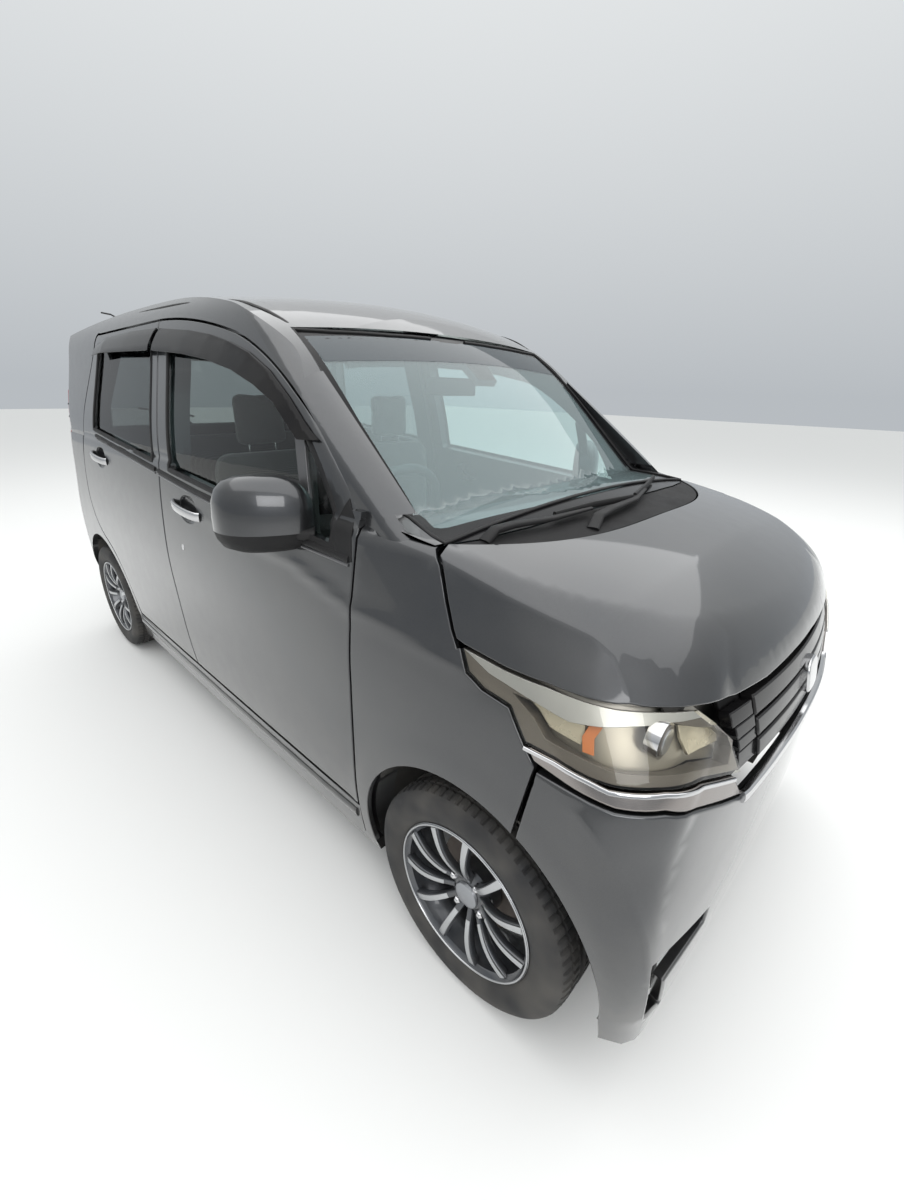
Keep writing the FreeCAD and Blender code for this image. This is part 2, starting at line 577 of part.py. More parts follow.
# Front suspension: a crossmember hung from the rails with its lower arms; the knuckle turns between
# the ball joint and the strut mount
CROSS_HALF = RAIL_OUT - LINER - SEAT
crossmember = block(FRONT_AXLE_X - 60, FRONT_AXLE_X + 60, -CROSS_HALF, 0, 160, 215)
bracket = block(FRONT_AXLE_X - 30, FRONT_AXLE_X + 30, -CROSS_HALF, -RAIL_IN - 5, 200, RAIL_Z - SEAT)
arm = block(FRONT_AXLE_X - 40, FRONT_AXLE_X + 40, -size("ball_joint_y") + 20, -RAIL_IN, 160, 180)
ball_joint = Part.makeCylinder(24, 25, axis_foot - steer_axis * 25, steer_axis)
suspension = crossmember.fuse([bracket, arm, ball_joint])
KNUCKLE_Y = -size("half_track") + 7
pin = Part.makeCylinder(22, 40, axis_foot + steer_axis * SEAT, steer_axis)
upright = block(FRONT_AXLE_X - 32, FRONT_AXLE_X + 32, KNUCKLE_Y, KNUCKLE_Y + 85, 205, 400)
strut_low = axis_foot + steer_axis * 150
strut = Part.makeCylinder(size("strut_radius"), size("strut_long") - 150, strut_low, steer_axis)
stub_foot = Vector(FRONT_AXLE_X, KNUCKLE_Y, WHEEL_Z)
stub = Part.makeCylinder(size("stub_radius"), size("stub_long"), stub_foot, Vector(0, -1, 0))
knuckle = pin.fuse([upright, strut, stub])

# Dashboard with its shelf and the steering column
COLUMN = Vector(-0.9, 0, 0.436).normalize()
WHEEL_CENTRE = Vector(560, -size("seat_half_pitch"), size("steering_height"))
DASH_FRONT_X = SHELL_FRONT_X - WALL - SEAT
dash = block(650, DASH_FRONT_X, -560, 560, 720, SCUTTLE_Z - WALL)
shelf = block(690, SHELL_FRONT_X + 100, -540, 540, SCUTTLE_Z - WALL, SCUTTLE_Z - SEAT)
column = Part.makeCylinder(size("column_radius"), 130, WHEEL_CENTRE - COLUMN * (40 + SEAT), COLUMN * -1)
dashboard = dash.fuse([shelf, column])
rim_ring = Part.makeTorus(size("steering_radius"), size("steering_grip"), WHEEL_CENTRE, COLUMN)
boss = Part.makeCylinder(62, 46, WHEEL_CENTRE - COLUMN * 40, COLUMN)
spoke = block(-13, 13, -size("steering_radius"), size("steering_radius"), -10, 10)
spoke.Placement = Placement(WHEEL_CENTRE, Rotation(Vector(0, 0, 1), COLUMN))

keep("body_sides", whole(shell))
keep("roof_panel", whole(roof_panel))
keep("cowl", whole(cowl))
keep("front_fenders", pair(fender))
keep("hood", whole(hood))
keep("front_bumper", whole(bumper))
keep("grille", whole(grille))
keep("headlamps", pair(headlamp))
keep("windscreen", whole(windscreen))
keep("rear_bumper", whole(rear_bumper))
keep("tailgate", whole(tailgate))
keep("tailgate_glass", whole(tail_glass))
keep("tail_lamps", pair(tail_lamp))
keep("side_skirts", pair(skirt))
keep("floor_pan", whole(floor))
keep("front_suspension", whole(suspension))
keep("dashboard", dashboard)
keep("steering_wheel", rim_ring.fuse([boss, spoke]))
for side, place in (("right", lambda shape: shape), ("left", mirrored)):
    keep("door_front_" + side, place(front_door))
    keep("door_rear_" + side, place(rear_door))
    keep("glass_front_" + side, place(front_glass))
    keep("glass_rear_" + side, place(rear_glass))
    keep("mirror_" + side, place(mirror))
    keep("knuckle_" + side, place(knuckle))

# Seats
SEATS = []
FLOOR_TOP = "(Sizes.floor_height + Sizes.floor_wall + Sizes.seat_gap)"
for side, sign in (("right", "-"), ("left", "")):
    y = sign + "Sizes.seat_half_pitch - Sizes.seat_wide / 2"
    cushion = box("cushion_" + side, "-150", y, "Sizes.cushion_bottom",
                  "Sizes.cushion_long", "Sizes.seat_wide", "Sizes.cushion_tall")
    plinth = box("plinth_" + side, "-90", y + " + 60", FLOOR_TOP, "Sizes.cushion_long - 140",
                 "Sizes.seat_wide - 120", "Sizes.cushion_bottom - Sizes.floor_height")
    back = box("back_" + side, "-150 - Sizes.backrest_thick", y, "Sizes.cushion_bottom + 40",
               "Sizes.backrest_thick + 30", "Sizes.seat_wide", "Sizes.backrest_tall")
    rest_y = y + " + (Sizes.seat_wide - Sizes.headrest_wide) / 2"
    rest_z = "Sizes.cushion_bottom + Sizes.backrest_tall + 20"
    rest = box("rest_" + side, "-150 - Sizes.backrest_thick", rest_y, rest_z,
               "Sizes.backrest_thick - 10", "Sizes.headrest_wide", "215")
    SEATS += [cushion, plinth, back, rest]
fused("front_seats", SEATS)
REAR_TOP = "(Sizes.rear_floor_height + Sizes.floor_wall + Sizes.seat_gap)"
bench = box("bench_cushion", "-1000", "-Sizes.bench_wide / 2", REAR_TOP + " + Sizes.bench_bottom",
            "Sizes.cushion_long - 20", "Sizes.bench_wide", "Sizes.cushion_tall - 20")
bench_foot = box("bench_foot", "-960", "-Sizes.bench_wide / 2 + 60", REAR_TOP, "380",
                 "Sizes.bench_wide - 120", "Sizes.bench_bottom + 30")
bench_back = box("bench_back", "-1110", "-Sizes.bench_wide / 2", REAR_TOP + " + Sizes.bench_bottom + 20",
                 "Sizes.backrest_thick + 20", "Sizes.bench_wide", "Sizes.bench_back_tall + 40")
fused("rear_bench", [bench, bench_foot, bench_back])

# Engine, tank, exhaust and rear axle
FRONT_AXLE = "(Sizes.length / 2 - Sizes.front_overhang)"
REAR_AXLE = "(Sizes.length / 2 - Sizes.front_overhang - Sizes.wheelbase)"
UNDER_REAR = "(Sizes.rear_floor_height - Sizes.seat_gap)"
NODES["engine_block"] = box("engine_block", FRONT_AXLE + " - 100", "Sizes.seat_gap - Sizes.rail_inner",
                            "215 + Sizes.seat_gap", "Sizes.engine_long",
                            "2 * (Sizes.rail_inner - Sizes.seat_gap)", "Sizes.engine_tall")
NODES["fuel_tank"] = box("fuel_tank", "-960", "-420", "160", "400", "760", UNDER_REAR + " - 160")
PIPE_Z = "Sizes.floor_height - Sizes.seat_gap - Sizes.pipe_radius"
pipe = rod("exhaust_pipe", "-1540", "400", PIPE_Z, "Sizes.pipe_radius", "2420", Vector(1, 0, 0))
muffler = rod("muffler", "-1540", "120", "235", "Sizes.muffler_radius", "320")
hanger = rod("muffler_hanger", "-1540", "280", "235", "8", UNDER_REAR + " - 235", Vector(0, 0, 1))
fused("exhaust", [pipe, muffler, hanger])
KNUCKLE_FACE = "(Sizes.half_track - 7)"
STUB_END = "(Sizes.half_track - 7 + Sizes.stub_long)"
beam = rod("axle_beam", REAR_AXLE, "-" + KNUCKLE_FACE, "Sizes.tyre_radius", "Sizes.beam_radius",
           "2 * " + KNUCKLE_FACE)
stubs = rod("axle_stubs", REAR_AXLE, "-" + STUB_END, "Sizes.tyre_radius", "Sizes.stub_radius",
            "2 * " + STUB_END)
REAR_PIECES = [beam, stubs]
ABOVE_AXLE = UNDER_REAR + " - Sizes.tyre_radius"
for side, sign in (("right", "-1"), ("left", "1")):
    arm_y = sign + " * 500 - 20"
    REAR_PIECES += [
        box("trailing_arm_" + side, REAR_AXLE, arm_y, "Sizes.tyre_radius - 20", "272", "40", "40"),
        box("arm_bracket_" + side, REAR_AXLE + " + 232", arm_y, "Sizes.tyre_radius", "40", "40", ABOVE_AXLE),
        rod("rear_spring_" + side, REAR_AXLE + " + 30", sign + " * 430", "Sizes.tyre_radius", "45",
            ABOVE_AXLE, Vector(0, 0, 1)),
    ]
fused("rear_axle", REAR_PIECES)

# Wheels: each tyre and rim is drawn in its own frame, whose Y runs inwards from the tyre's outer side
TYRE_PROFILE = [
    ("Sizes.tyre_radius", "15"), ("Sizes.tyre_radius", "Sizes.tyre_width - 15"),
    ("Sizes.tyre_radius - 16", "Sizes.tyre_width - 2.5"), ("Sizes.tyre_radius - 46", "Sizes.tyre_width"),
    ("Sizes.bead_radius", "Sizes.tyre_width - 11"), ("Sizes.bead_radius", "11"),
    ("Sizes.tyre_radius - 46", "0"), ("Sizes.tyre_radius - 16", "2.5"),
]
RIM_PROFILE = [
    ("Sizes.rim_lip_radius", "3"), ("Sizes.rim_lip_radius", "7.5"),
    ("Sizes.bead_radius - Sizes.seat_gap", "10.5"),
    ("Sizes.bead_radius - Sizes.seat_gap", "Sizes.tyre_width - 10.5"),
    ("Sizes.rim_lip_radius", "Sizes.tyre_width - 7.5"), ("Sizes.rim_lip_radius", "Sizes.tyre_width - 3"),
    ("Sizes.bead_radius - Sizes.rim_wall", "Sizes.tyre_width - 3"),
    ("Sizes.bead_radius - Sizes.rim_wall", "3"),
]
CORNERS = [
    ("front_right", FRONT_AXLE_X, -1), ("front_left", FRONT_AXLE_X, 1),
    ("rear_right", REAR_AXLE_X, -1), ("rear_left", REAR_AXLE_X, 1),
]
HUB_OUT, HUB_IN, DISC_IN, BORE_OUT = 16, 58, 70, 40
bead_inside = size("bead_radius") - size("rim_wall")
centre = Part.makeCylinder(size("hub_radius"), HUB_IN - HUB_OUT, Vector(0, HUB_OUT, 0), Y_AXIS)
brake = Part.makeCylinder(size("disc_radius"), size("disc_wall"), Vector(0, HUB_IN, 0), Y_AXIS)
bars = []
spoke_half, spoke_face = size("spoke_width") / 2, size("spoke_face")
for number in range(int(size("spoke_count"))):
    bar = block(size("hub_radius") - 8, bead_inside + 4, spoke_face, spoke_face + size("spoke_depth"),
                -spoke_half, spoke_half)
    bar.rotate(Vector(0, 0, 0), Y_AXIS, 360 * number / size("spoke_count"))
    bars.append(bar)
centre = centre.fuse([brake] + bars)
bore = Part.makeCylinder(size("stub_radius") + SEAT, DISC_IN - BORE_OUT, Vector(0, BORE_OUT, 0), Y_AXIS)
centre = centre.cut(bore)
for corner, axle_x, sign in CORNERS:
    outer_face = Vector(axle_x, sign * (size("half_track") + size("tyre_width") / 2), WHEEL_Z)
    placement = Placement(outer_face, Rotation(Vector(0, 0, 1), 0 if sign < 0 else 180))
    NODES["tyre_" + corner] = revolved("tyre_" + corner, TYRE_PROFILE, placement)
    barrel = revolved("barrel_" + corner, RIM_PROFILE, placement)
    doc.recompute()
    wheel_centre = centre.copy()
    wheel_centre.Placement = placement
    keep("rim_" + corner, barrel.Shape.fuse(wheel_centre))

doc.recompute()
bad = [item.Name for item in doc.Objects if "Invalid" in item.State or "Error" in item.State]
if bad:
    raise SystemExit("failed objects: " + ", ".join(bad))
os.makedirs("parts", exist_ok=True)
for node, item in NODES.items():
    shape = item.Shape
    if shape.isNull() or not shape.isValid() or not shape.Solids:
        raise SystemExit("bad shape: " + node)
    print(node, [round(solid.Volume / 1e6, 3) for solid in shape.Solids])
    item.Shape.exportStep("parts/%s.step" % node)
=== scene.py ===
"""Looks of the small upright car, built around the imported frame.

Blender works in metres here. The body's tables and outlines are in millimetres, as in the CAD source,
and a mesh is scaled to metres when it is made. +X forward, +Y left, +Z up, origin on the ground.
"""
import math

import bmesh
import bpy
import numpy as np
from mathutils import Matrix, Vector
from mathutils.geometry import delaunay_2d_cdt


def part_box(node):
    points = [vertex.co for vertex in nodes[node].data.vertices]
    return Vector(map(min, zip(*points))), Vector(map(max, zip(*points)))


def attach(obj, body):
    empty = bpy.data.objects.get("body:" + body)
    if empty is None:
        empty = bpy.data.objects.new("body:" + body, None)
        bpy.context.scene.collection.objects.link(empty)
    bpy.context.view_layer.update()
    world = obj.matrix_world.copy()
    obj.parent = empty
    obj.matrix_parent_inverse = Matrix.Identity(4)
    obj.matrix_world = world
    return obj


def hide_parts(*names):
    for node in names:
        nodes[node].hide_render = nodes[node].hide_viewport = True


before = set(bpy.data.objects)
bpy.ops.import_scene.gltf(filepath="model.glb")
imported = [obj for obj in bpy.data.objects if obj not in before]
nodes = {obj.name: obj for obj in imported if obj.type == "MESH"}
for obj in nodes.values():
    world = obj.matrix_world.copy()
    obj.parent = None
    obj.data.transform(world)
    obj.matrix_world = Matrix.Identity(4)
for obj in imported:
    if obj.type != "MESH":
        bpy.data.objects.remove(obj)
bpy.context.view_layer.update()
MM = 0.001

# Camera, floor and light
CAMERA_AT = (1.7707, -1.3301, 1.3614)
CAMERA_YAW, CAMERA_PITCH, CAMERA_ROLL = (math.radians(angle) for angle in (132.99, 22.71, 1.40))
FOCAL_PIXELS, PHOTO_HEIGHT = 507.13, 1200
SENSOR = 36.0


def add_camera():
    forward = Vector((math.cos(CAMERA_YAW) * math.cos(CAMERA_PITCH),
                      math.sin(CAMERA_YAW) * math.cos(CAMERA_PITCH), -math.sin(CAMERA_PITCH)))
    flat_right = forward.cross(Vector((0, 0, 1))).normalized()
    flat_up = flat_right.cross(forward)
    right = flat_right * math.cos(CAMERA_ROLL) + flat_up * math.sin(CAMERA_ROLL)
    up = flat_up * math.cos(CAMERA_ROLL) - flat_right * math.sin(CAMERA_ROLL)
    lens = bpy.data.cameras.new("photo_camera")
    lens.sensor_fit = "VERTICAL"
    lens.sensor_height = SENSOR
    lens.lens = FOCAL_PIXELS / PHOTO_HEIGHT * SENSOR
    lens.clip_start, lens.clip_end = 0.05, 80
    camera = bpy.data.objects.new("photo_camera", lens)
    turn = Matrix((right, up, -forward)).transposed().to_4x4()
    camera.matrix_world = Matrix.Translation(CAMERA_AT) @ turn
    bpy.context.scene.collection.objects.link(camera)
    bpy.context.scene.camera = camera


def add_area_light(name, at, aim, wide, tall, power):
    light = bpy.data.lights.new(name, "AREA")
    light.shape = "RECTANGLE"
    light.size, light.size_y, light.energy = wide, tall, power
    lamp = bpy.data.objects.new(name, light)
    look = (Vector(aim) - Vector(at)).to_track_quat("-Z", "Y").to_matrix().to_4x4()
    lamp.matrix_world = Matrix.Translation(at) @ look
    bpy.context.scene.collection.objects.link(lamp)


DUST = (0.23, 0.21, 0.18)
DIRT_HEIGHTS, DIRT_SCALE, FLECK_SCALE, WEAVE_SCALE = (0.12, 0.6), 14.0, 2200.0, 260.0


def add_node(tree, kind, *values, **named):
    """A shader node. An input, by place or by name with _ for a space, is a value or a node's output."""
    made = tree.nodes.new("ShaderNode" + kind)
    inputs = dict(enumerate(values))
    inputs.update((name.replace("_", " "), value) for name, value in named.items())
    for key, value in inputs.items():
        if isinstance(value, bpy.types.NodeSocket):
            tree.links.new(value, made.inputs[key])
        else:
            made.inputs[key].default_value = value
    return made


def maths(tree, operation, first, second):
    made = add_node(tree, "Math", first, second)
    made.operation = operation
    return made.outputs[0]


def ranged(tree, socket, low, high, start=0.35, end=0.7):
    """A value between start and end, spread over low to high."""
    return add_node(tree, "MapRange", Value=socket, From_Min=start, From_Max=end, To_Min=low,
                    To_Max=high).outputs["Result"]


def new_finish(name):
    made = bpy.data.materials.new(name)
    made.use_nodes = True
    return made, made.node_tree


def material(name, colour, rough=0.5, metal=0.0, dust=0.04, dust_scale=5.0, low_dirt=0.0, grain=0.0,
             grain_scale=900.0, weave=0.0, fleck=0.0, uneven=0.06, **sockets):
    """A surface with a film of dust, uneven gloss and a fine grain. sockets are Principled inputs.

    dust is the film's share at its thickest, low_dirt the extra share near the ground, grain and weave
    are the heights of the bumps in metres, and fleck is how much the colour sparkles.
    """
    made, tree = new_finish(name)
    shader = tree.nodes["Principled BSDF"]
    shader.inputs["Metallic"].default_value = metal
    for socket, value in sockets.items():
        shader.inputs[socket.replace("_", " ")].default_value = value
    spot = add_node(tree, "TexCoord").outputs["Object"]

    def noise(scale, detail):
        return add_node(tree, "TexNoise", Vector=spot, Scale=scale, Detail=detail).outputs["Fac"]

    film = ranged(tree, noise(dust_scale, 8.0), 0.0, dust)
    if low_dirt:
        height = add_node(tree, "SeparateXYZ", spot).outputs["Z"]
        splash = maths(tree, "MULTIPLY", ranged(tree, height, low_dirt, 0.0, *DIRT_HEIGHTS),
                       ranged(tree, noise(DIRT_SCALE, 8.0), 0.2, 1.0))
        film = maths(tree, "ADD", film, splash)
    blend = add_node(tree, "Mix")
    blend.data_type = "RGBA"
    tone, dusty = [socket for socket in blend.inputs if socket.type == "RGBA"]
    mixed = [socket for socket in blend.outputs if socket.type == "RGBA"][0]
    tone.default_value = (*colour, 1)
    dusty.default_value = (*DUST, 1)
    tree.links.new(film, blend.inputs[0])
    if fleck:
        sparkle = ranged(tree, noise(FLECK_SCALE, 1.0), 1 - fleck, 1 + fleck)
        flake = add_node(tree, "HueSaturation", Color=(*colour, 1), Value=sparkle)
        tree.links.new(flake.outputs["Color"], tone)
    tree.links.new(mixed, shader.inputs["Base Color"])
    gloss = ranged(tree, noise(dust_scale * 4, 6.0), rough * (1 - uneven), rough + uneven)
    tree.links.new(gloss, shader.inputs["Roughness"])
    if grain:
        height = noise(grain_scale, 3.0)
    elif weave:
        waves = [add_node(tree, "TexWave", Vector=spot, Scale=WEAVE_SCALE, Distortion=0.6) for _ in "XYZ"]
        for wave, axis in zip(waves, "XYZ"):
            wave.bands_direction = axis
        first, second, third = (wave.outputs["Fac"] for wave in waves)
        height = maths(tree, "MULTIPLY", maths(tree, "MULTIPLY", first, second), third)
    if grain or weave:
        bump = add_node(tree, "Bump", Distance=grain or weave, Height=height)
        tree.links.new(bump.outputs[0], shader.inputs["Normal"])
    return made


def clear_finish(name, tint, gloss=0.03, ior=1.5, haze=None):
    """See-through glass that still mirrors the studio. haze is (share, colour) of a dusty film; on the
    windscreen it is also a painted reflection of the sky.
    """
    made, tree = new_finish(name)
    tree.nodes.clear()
    through = add_node(tree, "BsdfTransparent", Color=(*tint, 1)).outputs[0]
    if haze:
        film = add_node(tree, "BsdfDiffuse", Color=(*haze[1], 1)).outputs[0]
        through = add_node(tree, "MixShader", haze[0], through, film).outputs[0]
    # The far face of a pane mirrors nothing, or a slanted view would meet total reflection there
    front = maths(tree, "SUBTRACT", 1.0, add_node(tree, "NewGeometry").outputs["Backfacing"])
    share = maths(tree, "MULTIPLY", add_node(tree, "Fresnel", IOR=ior).outputs[0], front)
    mirror = add_node(tree, "BsdfGlossy", Roughness=gloss).outputs[0]
    add_node(tree, "OutputMaterial", Surface=add_node(tree, "MixShader", share, through, mirror).outputs[0])
    return made


# The sky's colours as (height, colour), and the lamps as (name, place, aim, wide, tall, power)
SKY, SKY_STRENGTH = ((0.0, (0.50, 0.53, 0.56)), (0.75, (0.98, 1.0, 1.0))), 0.95
LAMPS = (("soft_top", (0.5, 0.5, 5.5), (0, 0, 0), 10, 11, 400),
         ("soft_front", (6.0, -3.5, 3.6), (0.8, 0, 0.7), 3, 3, 120))


def add_stage():
    floor_finish = material("floor_finish", (0.80, 0.80, 0.79), 0.9, dust=0.0, uneven=0.0)
    bpy.ops.mesh.primitive_plane_add(size=60, location=(0, 0, 0))
    floor = bpy.context.object
    floor.name = "stage_floor"
    floor.data.materials.append(floor_finish)
    world = bpy.data.worlds.new("studio")
    bpy.context.scene.world = world
    world.use_nodes = True
    tree = world.node_tree
    tree.nodes.clear()
    height = add_node(tree, "SeparateXYZ", add_node(tree, "TexCoord").outputs["Generated"]).outputs["Z"]
    ramp = add_node(tree, "ValToRGB", height)
    for stop, (place_on_ramp, colour) in zip(ramp.color_ramp.elements, SKY):
        stop.position, stop.color = place_on_ramp, (*colour, 1)
    sky = add_node(tree, "Background", Color=ramp.outputs[0], Strength=SKY_STRENGTH)
    add_node(tree, "OutputWorld", Surface=sky.outputs[0])
    for lamp in LAMPS:
        add_area_light(*lamp)


scene = bpy.context.scene
scene.view_settings.view_transform = "Standard"
add_camera()
add_stage()

LENGTH, WIDTH, HEIGHT = 3395, 1475, 1655
WHEELBASE, FRONT_OVERHANG = 2520, 450
NOSE, TAIL, HALF = LENGTH / 2, -LENGTH / 2, WIDTH / 2
FRONT_AXLE = NOSE - FRONT_OVERHANG
REAR_AXLE = FRONT_AXLE - WHEELBASE
WHEEL_Z = 278
BELT = 1110
FORE_STATION, DOOR_STATION, MID_STATION = FRONT_AXLE + 52, FRONT_AXLE - 348, -300

# The body's surface, as level sections of the CAD source: heights, distances from nose and tail, falls of
# their arcs, corner radii, and how far the sides stand in at the front axle, door, middle and rear
LOWER = dict(
    z=[165, 370, 600, 760, 880, 1000, 1110],
    nose=[28, 7, 1, 12, 45, 108, 208], bow=[25, 42, 82, 98, 118, 150, 160],
    corner=[70, 75, 105, 180, 265, 300, 300],
    fore=[48, 21, 11, 18, 46, 98, 140], door=[44, 16, 6, 6, 18, 38, 58],
    mid=[42, 14, 3, 1, 9, 22, 39], aft=[50, 22, 11, 12, 19, 29, 43],
    tail=[32, 7, 1, 12, 30, 38, 42], tail_bow=[30, 38, 45, 48, 50, 50, 48],
    tail_corner=[90, 100, 110, 120, 125, 125, 120],
)
UPPER = dict(
    z=[1000, 1110, 1300, 1450, 1540, 1600, 1665],
    nose=[548, 682, 928, 1127, 1262, 1390, 1640], bow=[48, 52, 58, 62, 62, 62, 62],
    corner=[72, 75, 80, 80, 84, 105, 140],
    fore=[67, 73, 91, 119, 138, 173, 291], mid=[43, 43, 75, 109, 131, 167, 273],
    aft=[47, 47, 76, 109, 131, 167, 273],
    tail=[51, 47, 53, 68, 82, 109, 211], tail_bow=[50, 48, 44, 41, 38, 38, 38],
    tail_corner=[122, 120, 114, 108, 105, 110, 130],
)
HOOD_ARCS = [((892, 1122), (1150, 1095), (1440, 1032)), ((1440, 1032), (1545, 986), (1660, 915))]
ROOF_ARCS = [((600, 1428), (414, 1553), (200, 1618)), ((200, 1618), (-50, 1646), (-300, 1655)),
             ((-300, 1655), (-970, 1638), (-1640, 1588))]
HOOD_CROWN, ROOF_CROWN = 5500, 3700
HOOD_SHOULDER, ROOF_SHOULDER = 28, 34


def smooth_curve(knots, values):
    """A natural cubic spline through the knots, as a function of an array."""
    knots, values = np.array(knots, float), np.array(values, float)
    last = len(knots) - 1
    steps = np.diff(knots)
    system, rates = np.eye(last + 1), np.zeros(last + 1)
    for i in range(1, last):
        system[i, i - 1:i + 2] = steps[i - 1], 2 * (steps[i - 1] + steps[i]), steps[i]
        rates[i] = 6 * ((values[i + 1] - values[i]) / steps[i] - (values[i] - values[i - 1]) / steps[i - 1])
    bend = np.linalg.solve(system, rates)

    def at(x):
        x = np.clip(x, knots[0], knots[-1])
        i = np.clip(np.searchsorted(knots, x) - 1, 0, last - 1)
        step = steps[i]
        a, b = (knots[i + 1] - x) / step, (x - knots[i]) / step
        return (a * values[i] + b * values[i + 1]
                + ((a ** 3 - a) * bend[i] + (b ** 3 - b) * bend[i + 1]) * step ** 2 / 6)
    return at


LOWER_AT = {key: smooth_curve(LOWER["z"], values) for key, values in LOWER.items() if key != "z"}
UPPER_AT = {key: smooth_curve(UPPER["z"], values) for key, values in UPPER.items() if key != "z"}


def rounded_corner(a, b, radius):
    """Distance to a corner between two walls, from the distances to the walls."""
    a, b = a + radius, b + radius
    return np.hypot(np.maximum(a, 0), np.maximum(b, 0)) + np.minimum(np.maximum(a, b), 0) - radius


def ring_gap(x, y, table, side, fore_side, z):
    """How far a point lies outside a level section, positive outside."""
    y = np.abs(y)
    corner, tail_corner = table["corner"](z), table["tail_corner"](z)
    reach = fore_side - corner
    fall = table["bow"](z) * (reach / fore_side) ** 2
    front = x - (NOSE - table["nose"](z) - fall * np.minimum(y / reach, 1) ** 2)
    gap = rounded_corner(front, y - side, corner)
    aft_side = HALF - table["aft"](z)
    tail_reach = aft_side - tail_corner
    tail_fall = table["tail_bow"](z) * (tail_reach / aft_side) ** 2
    back = (TAIL + table["tail"](z) + tail_fall * np.minimum(y / tail_reach, 1) ** 2) - x
    return np.where(x > MID_STATION, gap, rounded_corner(back, y - side, tail_corner))


def three_point(x, x0, y0, x1, y1, x2, y2):
    """The parabola through three points."""
    first = y0 * (x - x1) * (x - x2) / ((x0 - x1) * (x0 - x2))
    second = y1 * (x - x0) * (x - x2) / ((x1 - x0) * (x1 - x2))
    third = y2 * (x - x0) * (x - x1) / ((x2 - x0) * (x2 - x1))
    return first + second + third


def lower_gap(x, y, z):
    fore, door, mid, aft = (HALF - LOWER_AT[key](z) for key in ("fore", "door", "mid", "aft"))
    aft_x = TAIL + LOWER_AT["tail"](z) + LOWER_AT["tail_corner"](z)
    ahead = door + (fore - door) / (FORE_STATION - DOOR_STATION) * (x - DOOR_STATION)
    behind = three_point(x, DOOR_STATION, door, MID_STATION, mid, aft_x, aft)
    return ring_gap(x, y, LOWER_AT, np.where(x > DOOR_STATION, ahead, behind), fore, z)


def upper_gap(x, y, z):
    fore, mid, aft = (HALF - UPPER_AT[key](z) for key in ("fore", "mid", "aft"))
    aft_x = TAIL + UPPER_AT["tail"](z) + UPPER_AT["tail_corner"](z)
    fore_x = NOSE - UPPER_AT["nose"](z) - UPPER_AT["bow"](z) - UPPER_AT["corner"](z)
    return ring_gap(x, y, UPPER_AT, three_point(x, fore_x, fore, MID_STATION, mid, aft_x, aft), fore, z)


def unit(vectors):
    """Rows of vectors, each brought to length one."""
    return vectors / (np.linalg.norm(vectors, axis=1)[:, None] + 1e-9)


def circle_through(a, b, c):
    """Centre and radius of the circle through three points."""
    system = np.array([[2 * (b[0] - a[0]), 2 * (b[1] - a[1])], [2 * (c[0] - b[0]), 2 * (c[1] - b[1])]], float)
    right = np.array([b[0] ** 2 + b[1] ** 2 - a[0] ** 2 - a[1] ** 2,
                      c[0] ** 2 + c[1] ** 2 - b[0] ** 2 - b[1] ** 2], float)
    centre = np.linalg.solve(system, right)
    return centre, math.hypot(a[0] - centre[0], a[1] - centre[1])


def arc_line(arcs):
    """A line of downward-bending arcs as a function: x to (height, slope)."""
    solved = [(min(a[0], c[0]), max(a[0], c[0]), *circle_through(a, b, c)) for a, b, c in arcs]

    def at(x):
        height, slope = np.zeros_like(x), np.zeros_like(x)
        for low, high, centre, radius in solved:
            inside = np.clip(x, low, high)
            rise = np.sqrt(np.maximum(radius ** 2 - (inside - centre[0]) ** 2, 1))
            here_slope = -(inside - centre[0]) / rise
            here_height = centre[1] + rise + here_slope * (x - inside)
            use = (x >= low) & (x <= high)
            use |= (x < low) & (low == min(item[0] for item in solved))
            use |= (x > high) & (high == max(item[1] for item in solved))
            height, slope = np.where(use, here_height, height), np.where(use, here_slope, slope)
        return height, slope
    return at


HOOD_AT, ROOF_AT = arc_line(HOOD_ARCS), arc_line(ROOF_ARCS)


def crown_gap(x, y, z, line_at, radius, top):
    height, slope = line_at(x)
    centre = top - radius
    return (np.hypot(y, z - centre) + centre - height) / np.sqrt(1 + slope ** 2)


def body_gap(points):
    """How far points (N, 3) lie outside the whole body, positive outside."""
    x, y, z = points[:, 0], points[:, 1], points[:, 2]
    hood = crown_gap(x, y, z, HOOD_AT, HOOD_CROWN, BELT)
    lower = rounded_corner(lower_gap(x, y, np.minimum(z, BELT)), hood, HOOD_SHOULDER)
    lower = np.maximum(lower, z - BELT)
    roof = crown_gap(x, y, z, ROOF_AT, ROOF_CROWN, HEIGHT)
    upper = rounded_corner(upper_gap(x, y, z), roof, ROOF_SHOULDER)
    upper = np.maximum(upper, 1000 - z)
    return np.minimum(lower, upper)


def meet(start, heading, reach, level):
    """Where rays from outside first meet the surface that lies level outside the body."""
    low, high = np.zeros(len(start)), np.full(len(start), float(reach))
    for _ in range(34):
        middle = (low + high) / 2
        outside = body_gap(start + heading * middle[:, None]) > level
        low, high = np.where(outside, middle, low), np.where(outside, high, middle)
    return start + heading * high[:, None]


def normal_at(points, step=0.6):
    """Outward directions of the surface."""
    slopes = []
    for axis in range(3):
        shift = np.zeros(3)
        shift[axis] = step
        slopes.append(body_gap(points + shift) - body_gap(points - shift))
    slopes = np.array(slopes).T
    return slopes / np.linalg.norm(slopes, axis=1)[:, None]


